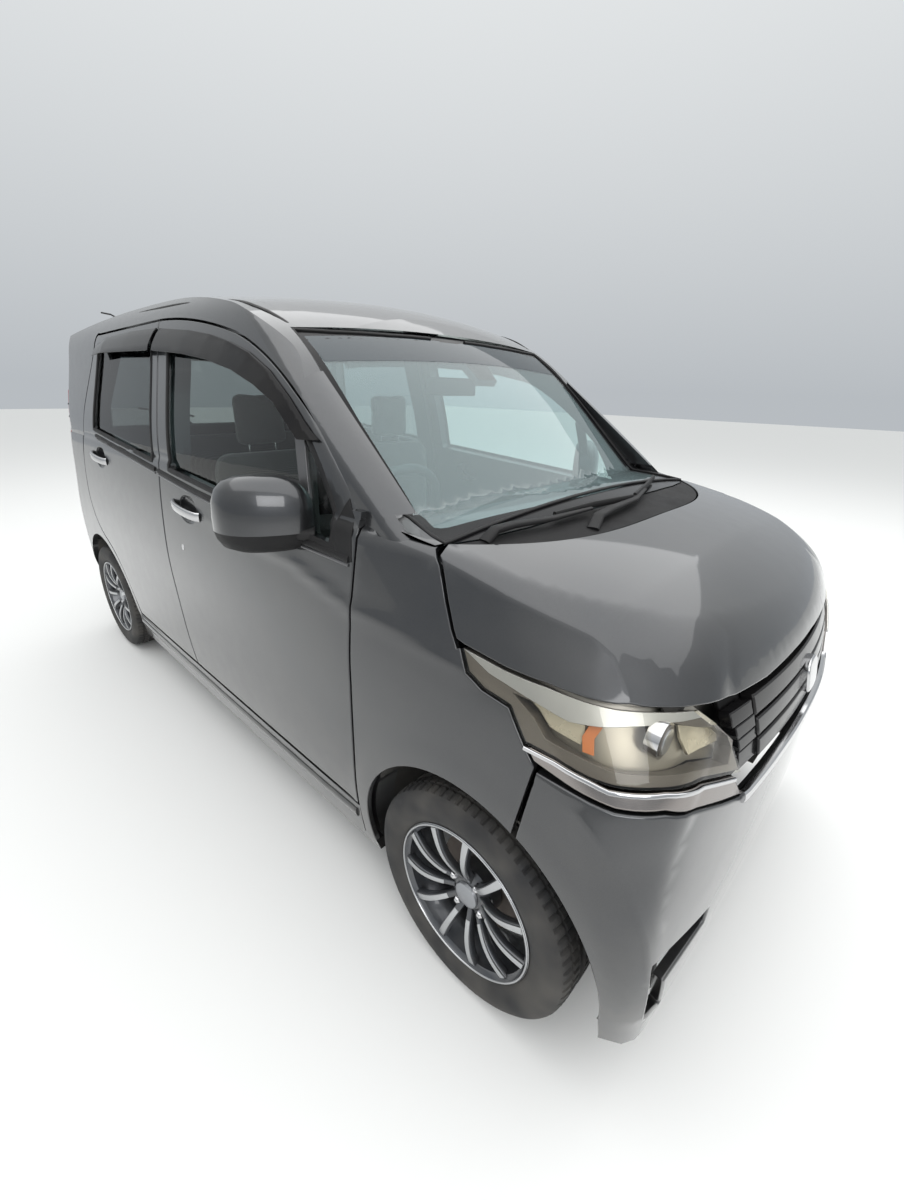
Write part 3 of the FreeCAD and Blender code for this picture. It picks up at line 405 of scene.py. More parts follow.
class FlatChart:
    """A face of the body seen square on, drawn by two of its coordinates."""

    def __init__(self, axes, outside, inward, reach):
        self.axes, self.outside, self.inward, self.reach = axes, outside, inward, reach

    def point(self, flat, level=0.0):
        """The spots of the body under flat points, or of the surface that lies level outside it."""
        depth = 3 - sum(self.axes)
        start, heading = np.zeros((2, len(flat), 3))
        start[:, self.axes] = flat
        start[:, depth], heading[:, depth] = self.outside, self.inward
        return meet(start, heading, self.reach, level)

    def flat(self, points):
        """The drawing of points near the surface."""
        return np.asarray(points, float)[:, self.axes]


class RoundChart:
    """The nose or the tail, drawn as (way round an upright axis, z). The way round is in millimetres."""
    def __init__(self, axis_x, ahead, scale=650):
        self.axis_x, self.ahead, self.scale = axis_x, ahead, scale

    def point(self, flat, level=0.0):
        angle = flat[:, 0] / self.scale
        heading = np.stack([self.ahead * np.cos(angle), np.sin(angle), np.zeros(len(flat))], 1)
        foot = np.stack([np.full(len(flat), self.axis_x), np.zeros(len(flat)), flat[:, 1]], 1)
        return meet(foot + heading * 1400, -heading, 1390, level)

    def flat(self, points):
        points = np.asarray(points, float)
        angle = np.arctan2(points[:, 1], self.ahead * (points[:, 0] - self.axis_x))
        return np.stack([angle * self.scale, points[:, 2]], 1)


SIDE, TOP = FlatChart([0, 2], -HALF - 60, 1, 620), FlatChart([0, 1], HEIGHT + 60, -1, 1100)
FRONT, BACK = RoundChart(1050, 1), RoundChart(-1150, -1)


def arc_points(start, via, goal, step):
    """Evenly spaced points of the arc through three points, with both ends."""
    centre, radius = circle_through(start, via, goal)
    first, middle, last = (math.atan2(p[1] - centre[1], p[0] - centre[0]) for p in (start, via, goal))
    turn = (last - first) % (2 * math.pi)
    if (middle - first) % (2 * math.pi) > turn:
        turn -= 2 * math.pi
    angles = first + turn * np.linspace(0, 1, max(2, round(abs(turn) * radius / step)) + 1)
    return np.stack([centre[0] + radius * np.cos(angles), centre[1] + radius * np.sin(angles)], 1)


def polyline(points, step):
    """An open line with evenly spaced points."""
    points = np.array(points, float)
    path = [points[:1]]
    for a, b in zip(points[:-1], points[1:]):
        count = max(1, round(np.linalg.norm(b - a) / step))
        path.append(a + np.outer(np.arange(1, count + 1) / count, b - a))
    return np.concatenate(path)


def traced(points, step):
    """A closed outline as evenly spaced points. A point is (a, b), or (via_a, via_b, a, b) for an arc."""
    path = []
    here = points[-1][-2:]
    for point in points:
        goal = point[-2:]
        edge = arc_points(here, point[:2], goal, step) if len(point) == 4 else polyline([here, goal], step)
        path.append(edge[1:])
        here = goal
    return np.concatenate(path)


def area_of(loop):
    """The signed area of a loop, positive anticlockwise."""
    following = np.roll(loop, -1, 0)
    return np.sum(loop[:, 0] * following[:, 1] - loop[:, 1] * following[:, 0]) / 2


def inside(loops, points):
    """Which points lie inside the loops, by the even-odd rule."""
    result = np.zeros(len(points), bool)
    for loop in loops:
        ax, ay = loop[:, 0], loop[:, 1]
        bx, by = np.roll(ax, -1), np.roll(ay, -1)
        for i in range(len(loop)):
            crosses = (ay[i] > points[:, 1]) != (by[i] > points[:, 1])
            if crosses.any():
                slant = ax[i] + (points[:, 1] - ay[i]) * (bx[i] - ax[i]) / ((by[i] - ay[i]) or 1e-9)
                result ^= crosses & (points[:, 0] < slant)
    return result


def line_distance(points, line):
    """How far flat points lie from an open line."""
    best = np.full(len(points), 1e9)
    for a, b in zip(line[:-1], line[1:]):
        run = b - a
        share = np.clip(((points - a) @ run) / (run @ run), 0, 1)
        best = np.minimum(best, np.linalg.norm(points - a - share[:, None] * run, axis=1))
    return best


def away_from(loops, points, least):
    """Which points lie further than least from every loop's points."""
    keep = np.ones(len(points), bool)
    for loop in loops:
        for start in range(0, len(loop), 64):
            gaps = np.linalg.norm(points[:, None] - loop[None, start:start + 64], axis=2).min(1)
            keep &= gaps > least
    return keep


def new_piece(name, points, faces, finish, body, normals=None, crisp=40):
    """A mesh piece from millimetre points that rides on a body. Edges over crisp degrees stay sharp."""
    mesh = bpy.data.meshes.new(name)
    faces = [tuple(int(i) for i in face) for face in faces]
    mesh.from_pydata([tuple(p) for p in np.asarray(points) * MM], [], faces)
    mesh.validate()
    mesh.materials.append(finish)
    mesh.shade_smooth()
    if normals is not None and len(mesh.vertices) == len(normals):
        mesh.normals_split_custom_set_from_vertices([tuple(n) for n in normals])
    else:
        shape = bmesh.new()
        shape.from_mesh(mesh)
        bmesh.ops.recalc_face_normals(shape, faces=shape.faces)
        shape.to_mesh(mesh)
        shape.free()
        mesh.set_sharp_from_angle(angle=math.radians(crisp))
    piece = bpy.data.objects.new(name, mesh)
    scene.collection.objects.link(piece)
    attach(piece, body)
    return piece


def flipped(points, faces, normals=None):
    """The mirror image across the car's middle plane."""
    mirror = np.array([1, -1, 1])
    faces = [tuple(reversed(face)) for face in faces]
    return points * mirror, faces, None if normals is None else normals * mirror


def joined(*shapes):
    """Several (points, faces) shapes as one."""
    points, faces, count = [], [], 0
    for more_points, more_faces in shapes:
        points.append(np.asarray(more_points, float))
        faces += [tuple(int(i) + count for i in face) for face in more_faces]
        count += len(more_points)
    return np.concatenate(points), faces


def place(name, shape, finish, body="car_body", sides="one", normals=None, crisp=40):
    """Adds a shape drawn for the right side.

    sides: one; pair, as one piece with its mirror image; or both, as two pieces, with right and left put
    in the names.
    """
    points, faces = shape
    if sides == "both":
        other = flipped(points, faces, normals)
        return [new_piece(name % "right", points, faces, finish, body % "right", normals, crisp),
                new_piece(name % "left", other[0], other[1], finish, body % "left", other[2], crisp)]
    if sides == "pair":
        other = flipped(points, faces, normals)
        points, faces = joined((points, faces), other[:2])
        normals = None if normals is None else np.concatenate([normals, other[2]])
    return [new_piece(name, points, faces, finish, body, normals, crisp)]


def grid_faces(rows, columns, close_rows=False, close_columns=False):
    """Quads over points numbered row by row."""
    return [(i * columns + k, i * columns + (k + 1) % columns,
             (i + 1) % rows * columns + (k + 1) % columns, (i + 1) % rows * columns + k)
            for i in range(rows if close_rows else rows - 1)
            for k in range(columns if close_columns else columns - 1)]


def swept(path, up, profile, closed=False):
    """A closed profile of (across, up) carried along a path, with ends."""
    path = np.asarray(path, float)
    onward = np.roll(path, -1, 0) - np.roll(path, 1, 0)
    if not closed:
        onward[0], onward[-1] = path[1] - path[0], path[-1] - path[-2]
    onward /= np.linalg.norm(onward, axis=1)[:, None]
    up = np.broadcast_to(np.asarray(up, float), path.shape)
    up = up - onward * np.sum(up * onward, 1)[:, None]
    up /= np.linalg.norm(up, axis=1)[:, None]
    across = np.cross(onward, up)
    profile = np.asarray(profile, float)
    profile = np.broadcast_to(profile, (len(path), *profile.shape[-2:]))
    points = path[:, None] + across[:, None] * profile[..., :1] + up[:, None] * profile[..., 1:]
    rows, columns = points.shape[:2]
    faces = grid_faces(rows, columns, closed, True)
    if not closed:
        faces += [tuple(range(columns)), tuple((rows - 1) * columns + k for k in range(columns))]
    return points.reshape(-1, 3), faces


def ring(half_wide, half_tall, count=12, square=1.0):
    """A closed profile from an ellipse (square 1) to nearly a rectangle (square near 0)."""
    turn = np.arange(count) * 2 * math.pi / count + math.pi / count
    shape = np.stack([np.cos(turn), np.sin(turn)], 1)
    return np.sign(shape) * np.abs(shape) ** square * np.array([half_wide, half_tall])


def round_rings(radii, count):
    """A round profile for each point of a path."""
    return np.stack([ring(radius, radius, count) for radius in radii])


def tube(path, radius, count=10, up=(0, 0.1, 1)):
    return swept(path, up, ring(radius, radius, count))


def lofted(rings):
    """A closed form through rings of equal point counts."""
    rings = np.asarray(rings, float)
    rows, columns = rings.shape[:2]
    faces = grid_faces(rows, columns, False, True)
    faces += [tuple(range(columns)), tuple((rows - 1) * columns + k for k in range(columns))]
    return rings.reshape(-1, 3), faces


def brick(low, high, edge=2.0):
    """A block with bevelled edges, between two corners."""
    low, high = np.array(low, float), np.array(high, float)
    middle, half = (low + high) / 2, (high - low) / 2
    bevel = min(edge, *(half * 0.9))
    rings = []
    for height, shrink in ((-half[2], bevel), (bevel - half[2], 0), (half[2] - bevel, 0), (half[2], bevel)):
        wide, deep = half[0] - shrink, half[1] - shrink
        ring_points = [(-wide, bevel - deep), (bevel - wide, -deep), (wide - bevel, -deep),
                       (wide, bevel - deep), (wide, deep - bevel), (wide - bevel, deep),
                       (bevel - wide, deep), (-wide, deep - bevel)]
        rings.append([middle + (a, b, height) for a, b in ring_points])
    return lofted(rings)


def turned(profile, centre, count=96):
    """A closed profile of (radius, outward) carried round a wheel's axis on the right side."""
    angles = np.arange(count) * 2 * math.pi / count
    profile = np.asarray(profile, float)
    points = np.stack([centre[0] + np.outer(np.cos(angles), profile[:, 0]),
                       np.tile(centre[1] - profile[:, 1], (count, 1)),
                       centre[2] + np.outer(np.sin(angles), profile[:, 0])], 2)
    return points.reshape(-1, 3), grid_faces(count, len(profile), True, True)


def bead(flat_line, chart, half_wide, rise, level=0.0, closed=False, count=10):
    """A rounded strip along a line drawn on the body."""
    path = chart.point(np.asarray(flat_line, float), level)
    return swept(path, normal_at(path), ring(half_wide, rise, count, 0.7), closed)


# A panel's mesh, in shares of its spacing: the distance between rows, and what stays clear of the rim, of the
# rim by a line's ends, and of a line
ROW_SHARE, RIM_CLEAR, LINE_END_CLEAR, LINE_CLEAR = 0.9, 0.45, 0.3, 0.5


def loop_rim(loop, chart, lay, lip):
    """A loop's edge on the body, its inward and outward directions, and the loop drawn lip further in."""
    onward = np.roll(loop, -1, 0) - np.roll(loop, 1, 0)
    inward = np.stack([-onward[:, 1], onward[:, 0]], 1)
    edge, near = lay(loop), lay(loop + unit(inward) * 1.5)
    direction = normal_at(edge)
    along = unit(np.roll(edge, -1, 0) - np.roll(edge, 1, 0))
    into = near - edge
    into -= along * np.sum(into * along, 1)[:, None]
    into = unit(into - direction * np.sum(into * direction, 1)[:, None])
    return edge, into, direction, chart.flat(edge + into * lip)


def filled(inner, spacing, lines):
    """Triangles inside the loops: their rims, the crease lines and staggered points between.

    Returns the points, the triangles, and which point each point of the loops became.
    """
    low, high = inner[0].min(0), inner[0].max(0)
    rows = np.arange(low[1] + spacing / 2, high[1], spacing * ROW_SHARE)
    grid = [(x + (spacing / 2 if k % 2 else 0), z) for k, z in enumerate(rows)
            for x in np.arange(low[0], high[0], spacing)]
    grid = np.array(grid).reshape(-1, 2)
    grid = grid[inside(inner, grid)]
    grid = grid[away_from(inner, grid, spacing * RIM_CLEAR)]
    lines = [line[inside(inner, line)] for line in lines]
    lines = [line[away_from(inner, line, spacing * LINE_END_CLEAR)] for line in lines]
    for line in lines:
        grid = grid[line_distance(grid, line) > spacing * LINE_CLEAR]
    flat, edges = [], []
    for loop in inner:
        first = len(flat)
        flat += [Vector(p) for p in loop]
        edges += [(first + k, first + (k + 1) % len(loop)) for k in range(len(loop))]
    rim_count = len(flat)
    for line in lines:
        edges += [(len(flat) + k, len(flat) + k + 1) for k in range(len(line) - 1)]
        flat += [Vector(p) for p in line]
    flat += [Vector(p) for p in grid]
    made = delaunay_2d_cdt(flat, edges, [], 0, 1e-4, True)
    coords = np.array([tuple(p) for p in made[0]])
    triangles = np.array(made[2])
    middles = coords[triangles].mean(1)
    triangles = triangles[inside(inner, middles)]
    where = {}
    for index, sources in enumerate(made[3]):
        for source in sources:
            if source < rim_count:
                where[source] = index
    return coords, triangles, where


def panel_mesh(loops, chart, spacing, level=0.0, depth=18.0, lip=2.5, form=None, lines=()):
    """A plate that follows the body: rounded edge, side wall and back. Returns points, faces, directions.

    form takes flat points and gives how far each stands further out than level. The mesh has an edge
    along each of lines, so that a crease stays crisp.
    """
    def lay(flat):
        return chart.point(flat, level if form is None else level + form(flat))

    def facing_of(flat, points):
        if form is None:
            return normal_at(points)
        steps = [lay(flat + shift) - lay(flat - shift) for shift in np.array([[2.0, 0.0], [0.0, 2.0]])]
        facing = unit(np.cross(steps[0], steps[1]))
        return facing * np.sign(np.sum(facing * normal_at(points), 1))[:, None]

    # The outer loop runs one way round and holes the other
    loops = [np.asarray(loop, float) for loop in loops]
    loops = [loop if (area_of(loop) > 0) == (k == 0) else loop[::-1] for k, loop in enumerate(loops)]
    rims = [loop_rim(loop, chart, lay, lip) for loop in loops]
    coords, triangles, where = filled([rim[3] for rim in rims], spacing, lines)
    points = lay(coords)
    normals = facing_of(coords, points)
    corner = points[triangles]
    facing = np.cross(corner[:, 1] - corner[:, 0], corner[:, 2] - corner[:, 0])
    outward = np.sum(facing * normals[triangles[:, 0]], 1) > 0
    faces = [tuple(t) if ok else tuple(t[::-1]) for t, ok in zip(triangles, outward)]
    # The rounded edge and the side wall of each loop, then the back
    all_points, all_normals = [points], [normals]
    count = len(points)
    back_rims = []
    turn = math.sqrt(0.5)
    first = 0
    for (edge, into, direction, _), loop in zip(rims, loops):
        size = len(loop)
        rings = [
            (edge + into * lip * (1 - turn) - direction * lip * (1 - turn), direction * turn - into * turn),
            (edge - direction * lip, -into),
            (edge - direction * depth, -into),
        ]
        previous = [where[first + k] for k in range(size)]
        for ring_points, ring_normals in rings:
            ring = list(range(count, count + size))
            all_points.append(ring_points)
            all_normals.append(ring_normals)
            count += size
            for k in range(size):
                n = (k + 1) % size
                faces.append((previous[k], ring[k], ring[n], previous[n]))
            previous = ring
        back_rims.append(previous)
        first += size
    behind = points - normals * depth
    all_points.append(behind)
    all_normals.append(-normals)
    base = count
    faces += [tuple(base + i for i in reversed(face)) for face in faces[:len(triangles)]]
    first = 0
    for ring, loop in zip(back_rims, loops):
        size = len(loop)
        inner_ring = [base + where[first + k] for k in range(size)]
        for k in range(size):
            n = (k + 1) % size
            faces.append((ring[k], inner_ring[k], inner_ring[n], ring[n]))
        first += size
    points, normals = np.concatenate(all_points), np.concatenate(all_normals)
    probe = faces[len(triangles)]
    wall = np.cross(points[probe[1]] - points[probe[0]], points[probe[2]] - points[probe[0]])
    if np.dot(wall, normals[probe[1]]) < 0:
        faces = [tuple(reversed(face)) if len(face) == 4 else face for face in faces]
    return points, faces, normals


def panel(name, loops, chart, spacing, finish, body="car_body", sides="pair", **shape):
    """A plate that follows the body, placed as its own piece or pieces."""
    points, faces, normals = panel_mesh(loops, chart, spacing, **shape)
    return place(name, (points, faces), finish, body, sides, normals)


PAINT = material("body_paint_finish", (0.046, 0.048, 0.052), 0.3, 0.8, dust=0.05, low_dirt=0.22, fleck=0.25,
                 uneven=0.02, Coat_Weight=1.0, Coat_Roughness=0.04)
BLACK_TRIM = material("black_trim_finish", (0.010, 0.010, 0.011), 0.55, dust=0.03, grain=0.0004,
                      Specular_IOR_Level=0.25)
GLOSS_BLACK = material("gloss_black_finish", (0.006, 0.006, 0.007), 0.14, Specular_IOR_Level=0.25)
CHROME = material("chrome_finish", (0.56, 0.56, 0.57), 0.1, 1.0)
RUBBER = material("tyre_rubber_finish", (0.018, 0.018, 0.019), 0.75, dust=0.22, dust_scale=12, grain=0.0003)
LENS = clear_finish("lamp_lens_finish", (0.97, 0.96, 0.93), 0.03, 1.45)
LAMP_DARK = material("lamp_bezel_finish", (0.12, 0.11, 0.10), 0.35, 0.3)
LAMP_BOWL = material("lamp_bowl_finish", (0.36, 0.34, 0.30), 0.3, 0.5)
LAMP_SILVER = material("lamp_silver_finish", (0.42, 0.43, 0.44), 0.3, 0.7, Coat_Weight=1.0)
BEIGE = material("lamp_beige_finish", (0.56, 0.52, 0.42), 0.25, 0.5)
AMBER = material("lamp_amber_finish", (0.50, 0.17, 0.06), 0.3)
STRIP_CHROME = material("nose_strip_finish", (0.28, 0.26, 0.25), 0.2, 1.0)
SMOKE = material("smoked_visor_finish", (0.004, 0.004, 0.005), 0.1, Specular_IOR_Level=0.15)
SATIN_GREY = material("satin_grey_finish", (0.12, 0.12, 0.125), 0.3, 0.6)
MIRROR_GLASS = material("mirror_glass_finish", (0.75, 0.77, 0.78), 0.03, 1.0)
RIM_DARK = material("rim_dark_finish", (0.075, 0.08, 0.09), 0.32, 0.75, dust=0.14, dust_scale=25, fleck=0.2,
                    Coat_Weight=0.6)
MACHINED = material("rim_machined_finish", (0.5, 0.51, 0.52), 0.3, 1.0)
CAP_SILVER = material("wheel_cap_finish", (0.34, 0.35, 0.37), 0.3, 0.9)
CAST_IRON = material("brake_iron_finish", (0.12, 0.10, 0.09), 0.5, 0.8, dust=0.3, dust_scale=40, grain=0.0002)
COWL_BLACK = material("cowl_finish", (0.012, 0.012, 0.013), 0.6, dust=0.03, grain=0.0005,
                      Specular_IOR_Level=0.15)
FRIT = material("screen_frit_finish", (0.008, 0.008, 0.009), 0.15, dust=0.02, Specular_IOR_Level=0.12)
SHADE = clear_finish("screen_shade_finish", (0.30, 0.37, 0.41), 0.03, 1.5, (0.3, (0.10, 0.13, 0.15)))
# The windscreen's pale film is dust and also a painted reflection of the sky, which lightens the glass
SCREEN_GLASS = clear_finish("windscreen_finish", (0.80, 0.90, 0.90), 0.03, 1.5, (0.13, (0.55, 0.66, 0.68)))
SIDE_GLASS = clear_finish("side_glass_finish", (0.86, 0.90, 0.89), 0.02, 1.5)
REAR_GLASS = clear_finish("rear_glass_finish", (0.55, 0.58, 0.58), 0.02, 1.5)
TAIL_RED = material("tail_red_finish", (0.28, 0.012, 0.012), 0.12, Coat_Weight=1.0)
TAIL_CLEAR = material("tail_clear_finish", (0.55, 0.54, 0.52), 0.12, Coat_Weight=1.0)
PLATE_WHITE = material("blank_plate_finish", (0.74, 0.74, 0.71), 0.45)
FABRIC = material("seat_fabric_finish", (0.055, 0.052, 0.050), 0.9, weave=0.0009, Sheen_Weight=0.4)
DASH = material("dashboard_finish", (0.045, 0.045, 0.047), 0.6, grain=0.0006, grain_scale=500)
UNDERBODY = material("underbody_finish", (0.03, 0.03, 0.03), 0.8, dust=0.35, grain=0.0008)
STEEL = material("chassis_steel_finish", (0.16, 0.15, 0.14), 0.5, 0.8, dust=0.4, dust_scale=20, grain=0.0004)

# Seams between the panels, drawn as (x, z) on the side
GAP = 6.5
HOOD_BACK = FRONT_AXLE - 162
DOOR_FRONT = FRONT_AXLE - 368


PILLAR_BACK, PILLAR_LEAN = 1484, 0.072


def pillar_x(z):
    """The middle pillar's seam, which leans back."""
    return FRONT_AXLE - PILLAR_BACK - PILLAR_LEAN * (z - 800)


def arch_x(axle, radius, z, ahead):
    """Where a wheel arch passes a height, ahead of the axle (1) or behind it (-1)."""
    return axle + ahead * math.sqrt(radius ** 2 - (z - WHEEL_Z) ** 2)


def grown(loop, reach):
    """A closed loop moved outwards, or inwards where reach is negative."""
    if area_of(loop) < 0:
        loop = loop[::-1]
    onward = np.roll(loop, -1, 0) - np.roll(loop, 1, 0)
    return loop + reach * unit(np.stack([onward[:, 1], -onward[:, 0]], 1))


DOOR_TOP, DOOR_LOW = HEIGHT - 108, 305
FRONT_DOOR = [
    (pillar_x(DOOR_LOW), DOOR_LOW), (DOOR_FRONT - 14, DOOR_LOW), (DOOR_FRONT + 6, 700), (DOOR_FRONT, 1075),
    (DOOR_FRONT - 279, 1338, DOOR_FRONT - 603, HEIGHT - 170),
    (DOOR_FRONT - 879, DOOR_TOP - 17, pillar_x(DOOR_TOP), DOOR_TOP),
]
DOOR_ARCH = 345 + 42
REAR_DOOR = [
    (pillar_x(DOOR_TOP) - GAP, DOOR_TOP), (REAR_AXLE + 300, DOOR_TOP - 14),
    (REAR_AXLE + 252, DOOR_TOP - 22, REAR_AXLE + 228, DOOR_TOP - 60), (REAR_AXLE + 74, 1245),
    (REAR_AXLE, 1060, REAR_AXLE - 20, 880), (REAR_AXLE + 10, 760, arch_x(REAR_AXLE, DOOR_ARCH, 640, 1), 640),
    (arch_x(REAR_AXLE, DOOR_ARCH, 480, 1), 480, arch_x(REAR_AXLE, DOOR_ARCH, DOOR_LOW, 1), DOOR_LOW),
    (pillar_x(DOOR_LOW) - GAP, DOOR_LOW),
]
FRONT_WINDOW = [
    (pillar_x(1080) + 88, 1078), (DOOR_FRONT - 62, 1012),
    (DOOR_FRONT - 276, 1297, DOOR_FRONT - 608, HEIGHT - 209),
    (DOOR_FRONT - 860, HEIGHT - 163, pillar_x(1490) + 82, HEIGHT - 152),
]
REAR_WINDOW = [
    (pillar_x(1090) - 68, 1092), (pillar_x(1500) - 62, HEIGHT - 150), (REAR_AXLE + 330, HEIGHT - 158),
    (REAR_AXLE + 292, HEIGHT - 170, REAR_AXLE + 280, HEIGHT - 200), (REAR_AXLE + 205, 1152),
]
STEP = 22

# The crease that starts at the headlamp and runs out on the front door, and the swell of the wheel arch
SIDE_CREASE = np.array([(1229, 868), (1050, 885), (877, 893), (627, 946), (418, 955), (0, 962)], float)
SIDE_RIDGE, SIDE_RIDGE_WIDE, SIDE_RIDGE_END, SIDE_RIDGE_FADE = 3.5, 20, 60, 300
FLARE, FLARE_RADIUS, FLARE_FADE = 4.0, 395, 50


def arch_flare(x, z):
    """How far the skin swells around the front wheel."""
    radius = np.hypot(x - FRONT_AXLE, z - WHEEL_Z)
    return FLARE / (1 + np.exp((radius - FLARE_RADIUS) / FLARE_FADE * 4))


def side_form(flat):
    """The side's crease and the swell around the wheel."""
    ridge = SIDE_RIDGE * np.exp(-(line_distance(flat, SIDE_CREASE) / SIDE_RIDGE_WIDE) ** 2)
    ridge *= np.clip((flat[:, 0] - SIDE_RIDGE_END) / SIDE_RIDGE_FADE, 0, 1)
    return ridge + arch_flare(flat[:, 0], flat[:, 1])


CUPS = {"front": (-12, 968), "rear": (-985, 1038)}
CUP_WIDE, CUP_TALL, CUP_DEEP = 66, 44, 26


def oval(centre, half_wide, half_tall, count=28):
    """A closed loop near an ellipse."""
    return ring(half_wide, half_tall, count, 0.85) + np.array(centre)


def add_doors():
    for label, door, window, body in (("front", FRONT_DOOR, FRONT_WINDOW, "front_door_%s"),
                                      ("rear", REAR_DOOR, REAR_WINDOW, "rear_door_%s")):
        cup = CUPS[label]
        loops = [traced(door, STEP), traced(window, STEP), oval(cup, CUP_WIDE, CUP_TALL)]
        skins = panel("door_%s_skin_%%s" % label, loops, SIDE, STEP, PAINT, body, "both", depth=50, lip=3,
                      form=side_form)

        def cup_form(flat, cup=cup):
            reach = np.hypot((flat[:, 0] - cup[0]) / CUP_WIDE, (flat[:, 1] - cup[1]) / CUP_TALL)
            return -CUP_DEEP * np.clip(1 - reach ** 2, 0, 1)

        panel("door_%s_cup_%%s" % label, [oval(cup, CUP_WIDE + 3, CUP_TALL + 3)], SIDE, 8, PAINT, body,
              "both", level=-3.5, depth=2, lip=0.5, form=cup_form)
        for skin, side in zip(skins, ("right", "left")):
            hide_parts("door_%s_%s" % (label, side))


def mirrored_loop(half):
    """A closed loop symmetric about y = 0, from its right half listed in order. Points are 3-D."""
    left = half[::-1] * np.array([1, -1, 1])
    return np.concatenate([half, left[1:-1] if abs(half[0][1]) < 1 and abs(half[-1][1]) < 1 else left])


HOOD_SIDE_LINE = [(HOOD_BACK, 1066), (HOOD_BACK + 26, 1041), (HOOD_BACK + 58, 979), (HOOD_BACK + 88, 931),
                  (HOOD_BACK + 112, 902), (HOOD_BACK + 240, 886), (HOOD_BACK + 368, 868)]


def near_loop(chart, points, step=12):
    """A closed loop on a chart through points near the surface."""
    return traced([tuple(p) for p in chart.flat(points)], step)


LAMP_TOP = [(1203, -690, 906), (1302, -685, 896), (1384, -674, 894), (1453, -652, 885), (1493, -630, 881),
            (1544, -583, 878), (1584, -528, 873)]
LAMP_INNER = [(1610, -506, 844), (1632, -458, 807), (1659, -420, 722)]
LAMP_BOTTOM = [(1626, -560, 768), (1586, -638, 775), (1532, -685, 776), (1495, -700, 780), (1436, -710, 790),
               (1376, -712, 791)]
LAMP_OUTER = [(1332, -702, 841), (1270, -703, 849), (1229, -701, 866)]
STRIP_LOW = [(1271, -694, 878), (1388, -691, 861), (1439, -683, 851), (1468, -670, 852), (1491, -656, 853),
             (1525, -627, 857), (1567, -575, 860), (1598, -519, 858)]
HOOD_NOSE = [(1587, -522, 873), (1619, -414, 861), (1641, -294, 857), (1654, -136, 863), (1657, 0, 866)]
SHOULDER = [(1408, -717, 757), (1507, -708, 746), (1545, -694, 740), (1605, -637, 737), (1638, -555, 711),
            (1656, -476, 681)]
SHUT = 5.5
BUMPER_LOW = 195


def lifted(points, rise):
    """The same points a little higher."""
    return [(x, y, z + rise) for x, y, z in points]


HOOD_CREASE = [(1108, -651), (1218, -646), (1271, -638), (1346, -622), (1418, -599), (1459, -594),
               (1508, -612)]
HOOD_FOLD = [(1432, -592), (1495, -537), (1561, -453)]
HOOD_RISE, HOOD_WIDE, FOLD_RISE, FOLD_WIDE = 3.5, 16, 2.5, 30


def crease_rise(distance, rise, wide):
    """A ridge with a crisp top and hollow flanks."""
    return rise * np.exp(-distance / wide)


def side_by_side(line, gaps=(-28.0, -14.0, -5.0, 0.0, 5.0, 14.0, 28.0)):
    """A line and its neighbours, which keep the shading of a crease narrow."""
    onward = np.gradient(line, axis=0)
    across = np.stack([-onward[:, 1], onward[:, 0]], 1)
    across /= np.linalg.norm(across, axis=1)[:, None]
    return [line + gap * across for gap in gaps]


def hood_form(flat):
    """The crease from lamp to windscreen and the fold beside it, the same on both sides."""
    flat = np.stack([flat[:, 0], -np.abs(flat[:, 1])], 1)
    crease, fold = np.array(HOOD_CREASE, float), np.array(HOOD_FOLD, float)
    rise = crease_rise(line_distance(flat, crease), HOOD_RISE, HOOD_WIDE)
    return rise + FOLD_RISE * np.exp(-(line_distance(flat, fold) / FOLD_WIDE) ** 2)


HOOD_REAR_X, HOOD_REAR_Y, HOOD_REAR_POWER = HOOD_BACK + 187, 613, 3.2


def hood_rear(across, behind=0.0):
    """Where the hood's rear edge runs, as (x, y), or a line a little behind it."""
    fall = (HOOD_REAR_X - HOOD_BACK) * (np.abs(across) / HOOD_REAR_Y) ** HOOD_REAR_POWER
    return np.stack([HOOD_REAR_X - behind - fall, across], 1)


def add_hood():
    side = SIDE.point(polyline(HOOD_SIDE_LINE[:5], STEP))
    rim = lifted([(1206, -690, 906)] + LAMP_TOP[1:-1] + HOOD_NOSE, SHUT)
    rim = FRONT.point(polyline(FRONT.flat(rim), STEP))
    rear = TOP.point(hood_rear(np.linspace(0, -612, 44)))
    loop = mirrored_loop(np.concatenate([rear, side[1:-1], rim]))
    crease = polyline(HOOD_CREASE, 14)
    lines = side_by_side(crease) + side_by_side(crease * np.array([1, -1]))
    piece = panel("hood_skin", [TOP.flat(loop)], TOP, 18, PAINT, "hood", "one", depth=22, lip=3,
                  form=hood_form, lines=lines)[0]
    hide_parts("hood")


# The glass edge and the crease beside it, from the roof down to the hood
SCREEN_EDGE = [(445, -540), (530, -551), (596, -557), (699, -562), (795, -565), (879, -569), (930, -577),
               (979, -593), (1040, -611), (1083, -617)]
PILLAR_RIDGE = [(402, -577), (494, -588), (568, -592), (634, -595), (730, -600), (827, -604), (873, -607)]
SHOULDER_RIDGE = [(884, -608), (907, -614), (950, -632), (990, -647), (1050, -655), (1074, -655)]
PILLAR_RISE, PILLAR_WIDE, PILLAR_REACH = 5.0, 12, 15


def ridge_panel(name, outline, ridge, spacing, level, depth, lip):
    """A pair of plates beside the windscreen with a raised ridge."""
    ridge = np.array(ridge, float)
    panel(name, [outline], TOP, spacing, PAINT, level=level, depth=depth, lip=lip,
          lines=side_by_side(polyline(ridge, 10), (-9.0, -4.0, 0.0, 4.0, 9.0)),
          form=lambda flat: crease_rise(line_distance(flat, ridge), PILLAR_RISE, PILLAR_WIDE))


FENDER_FRONT = [(1199, 903), (1226, 865), (1267, 846), (1329, 838), (1373, 787), (1402, 757), (1375, 591)]


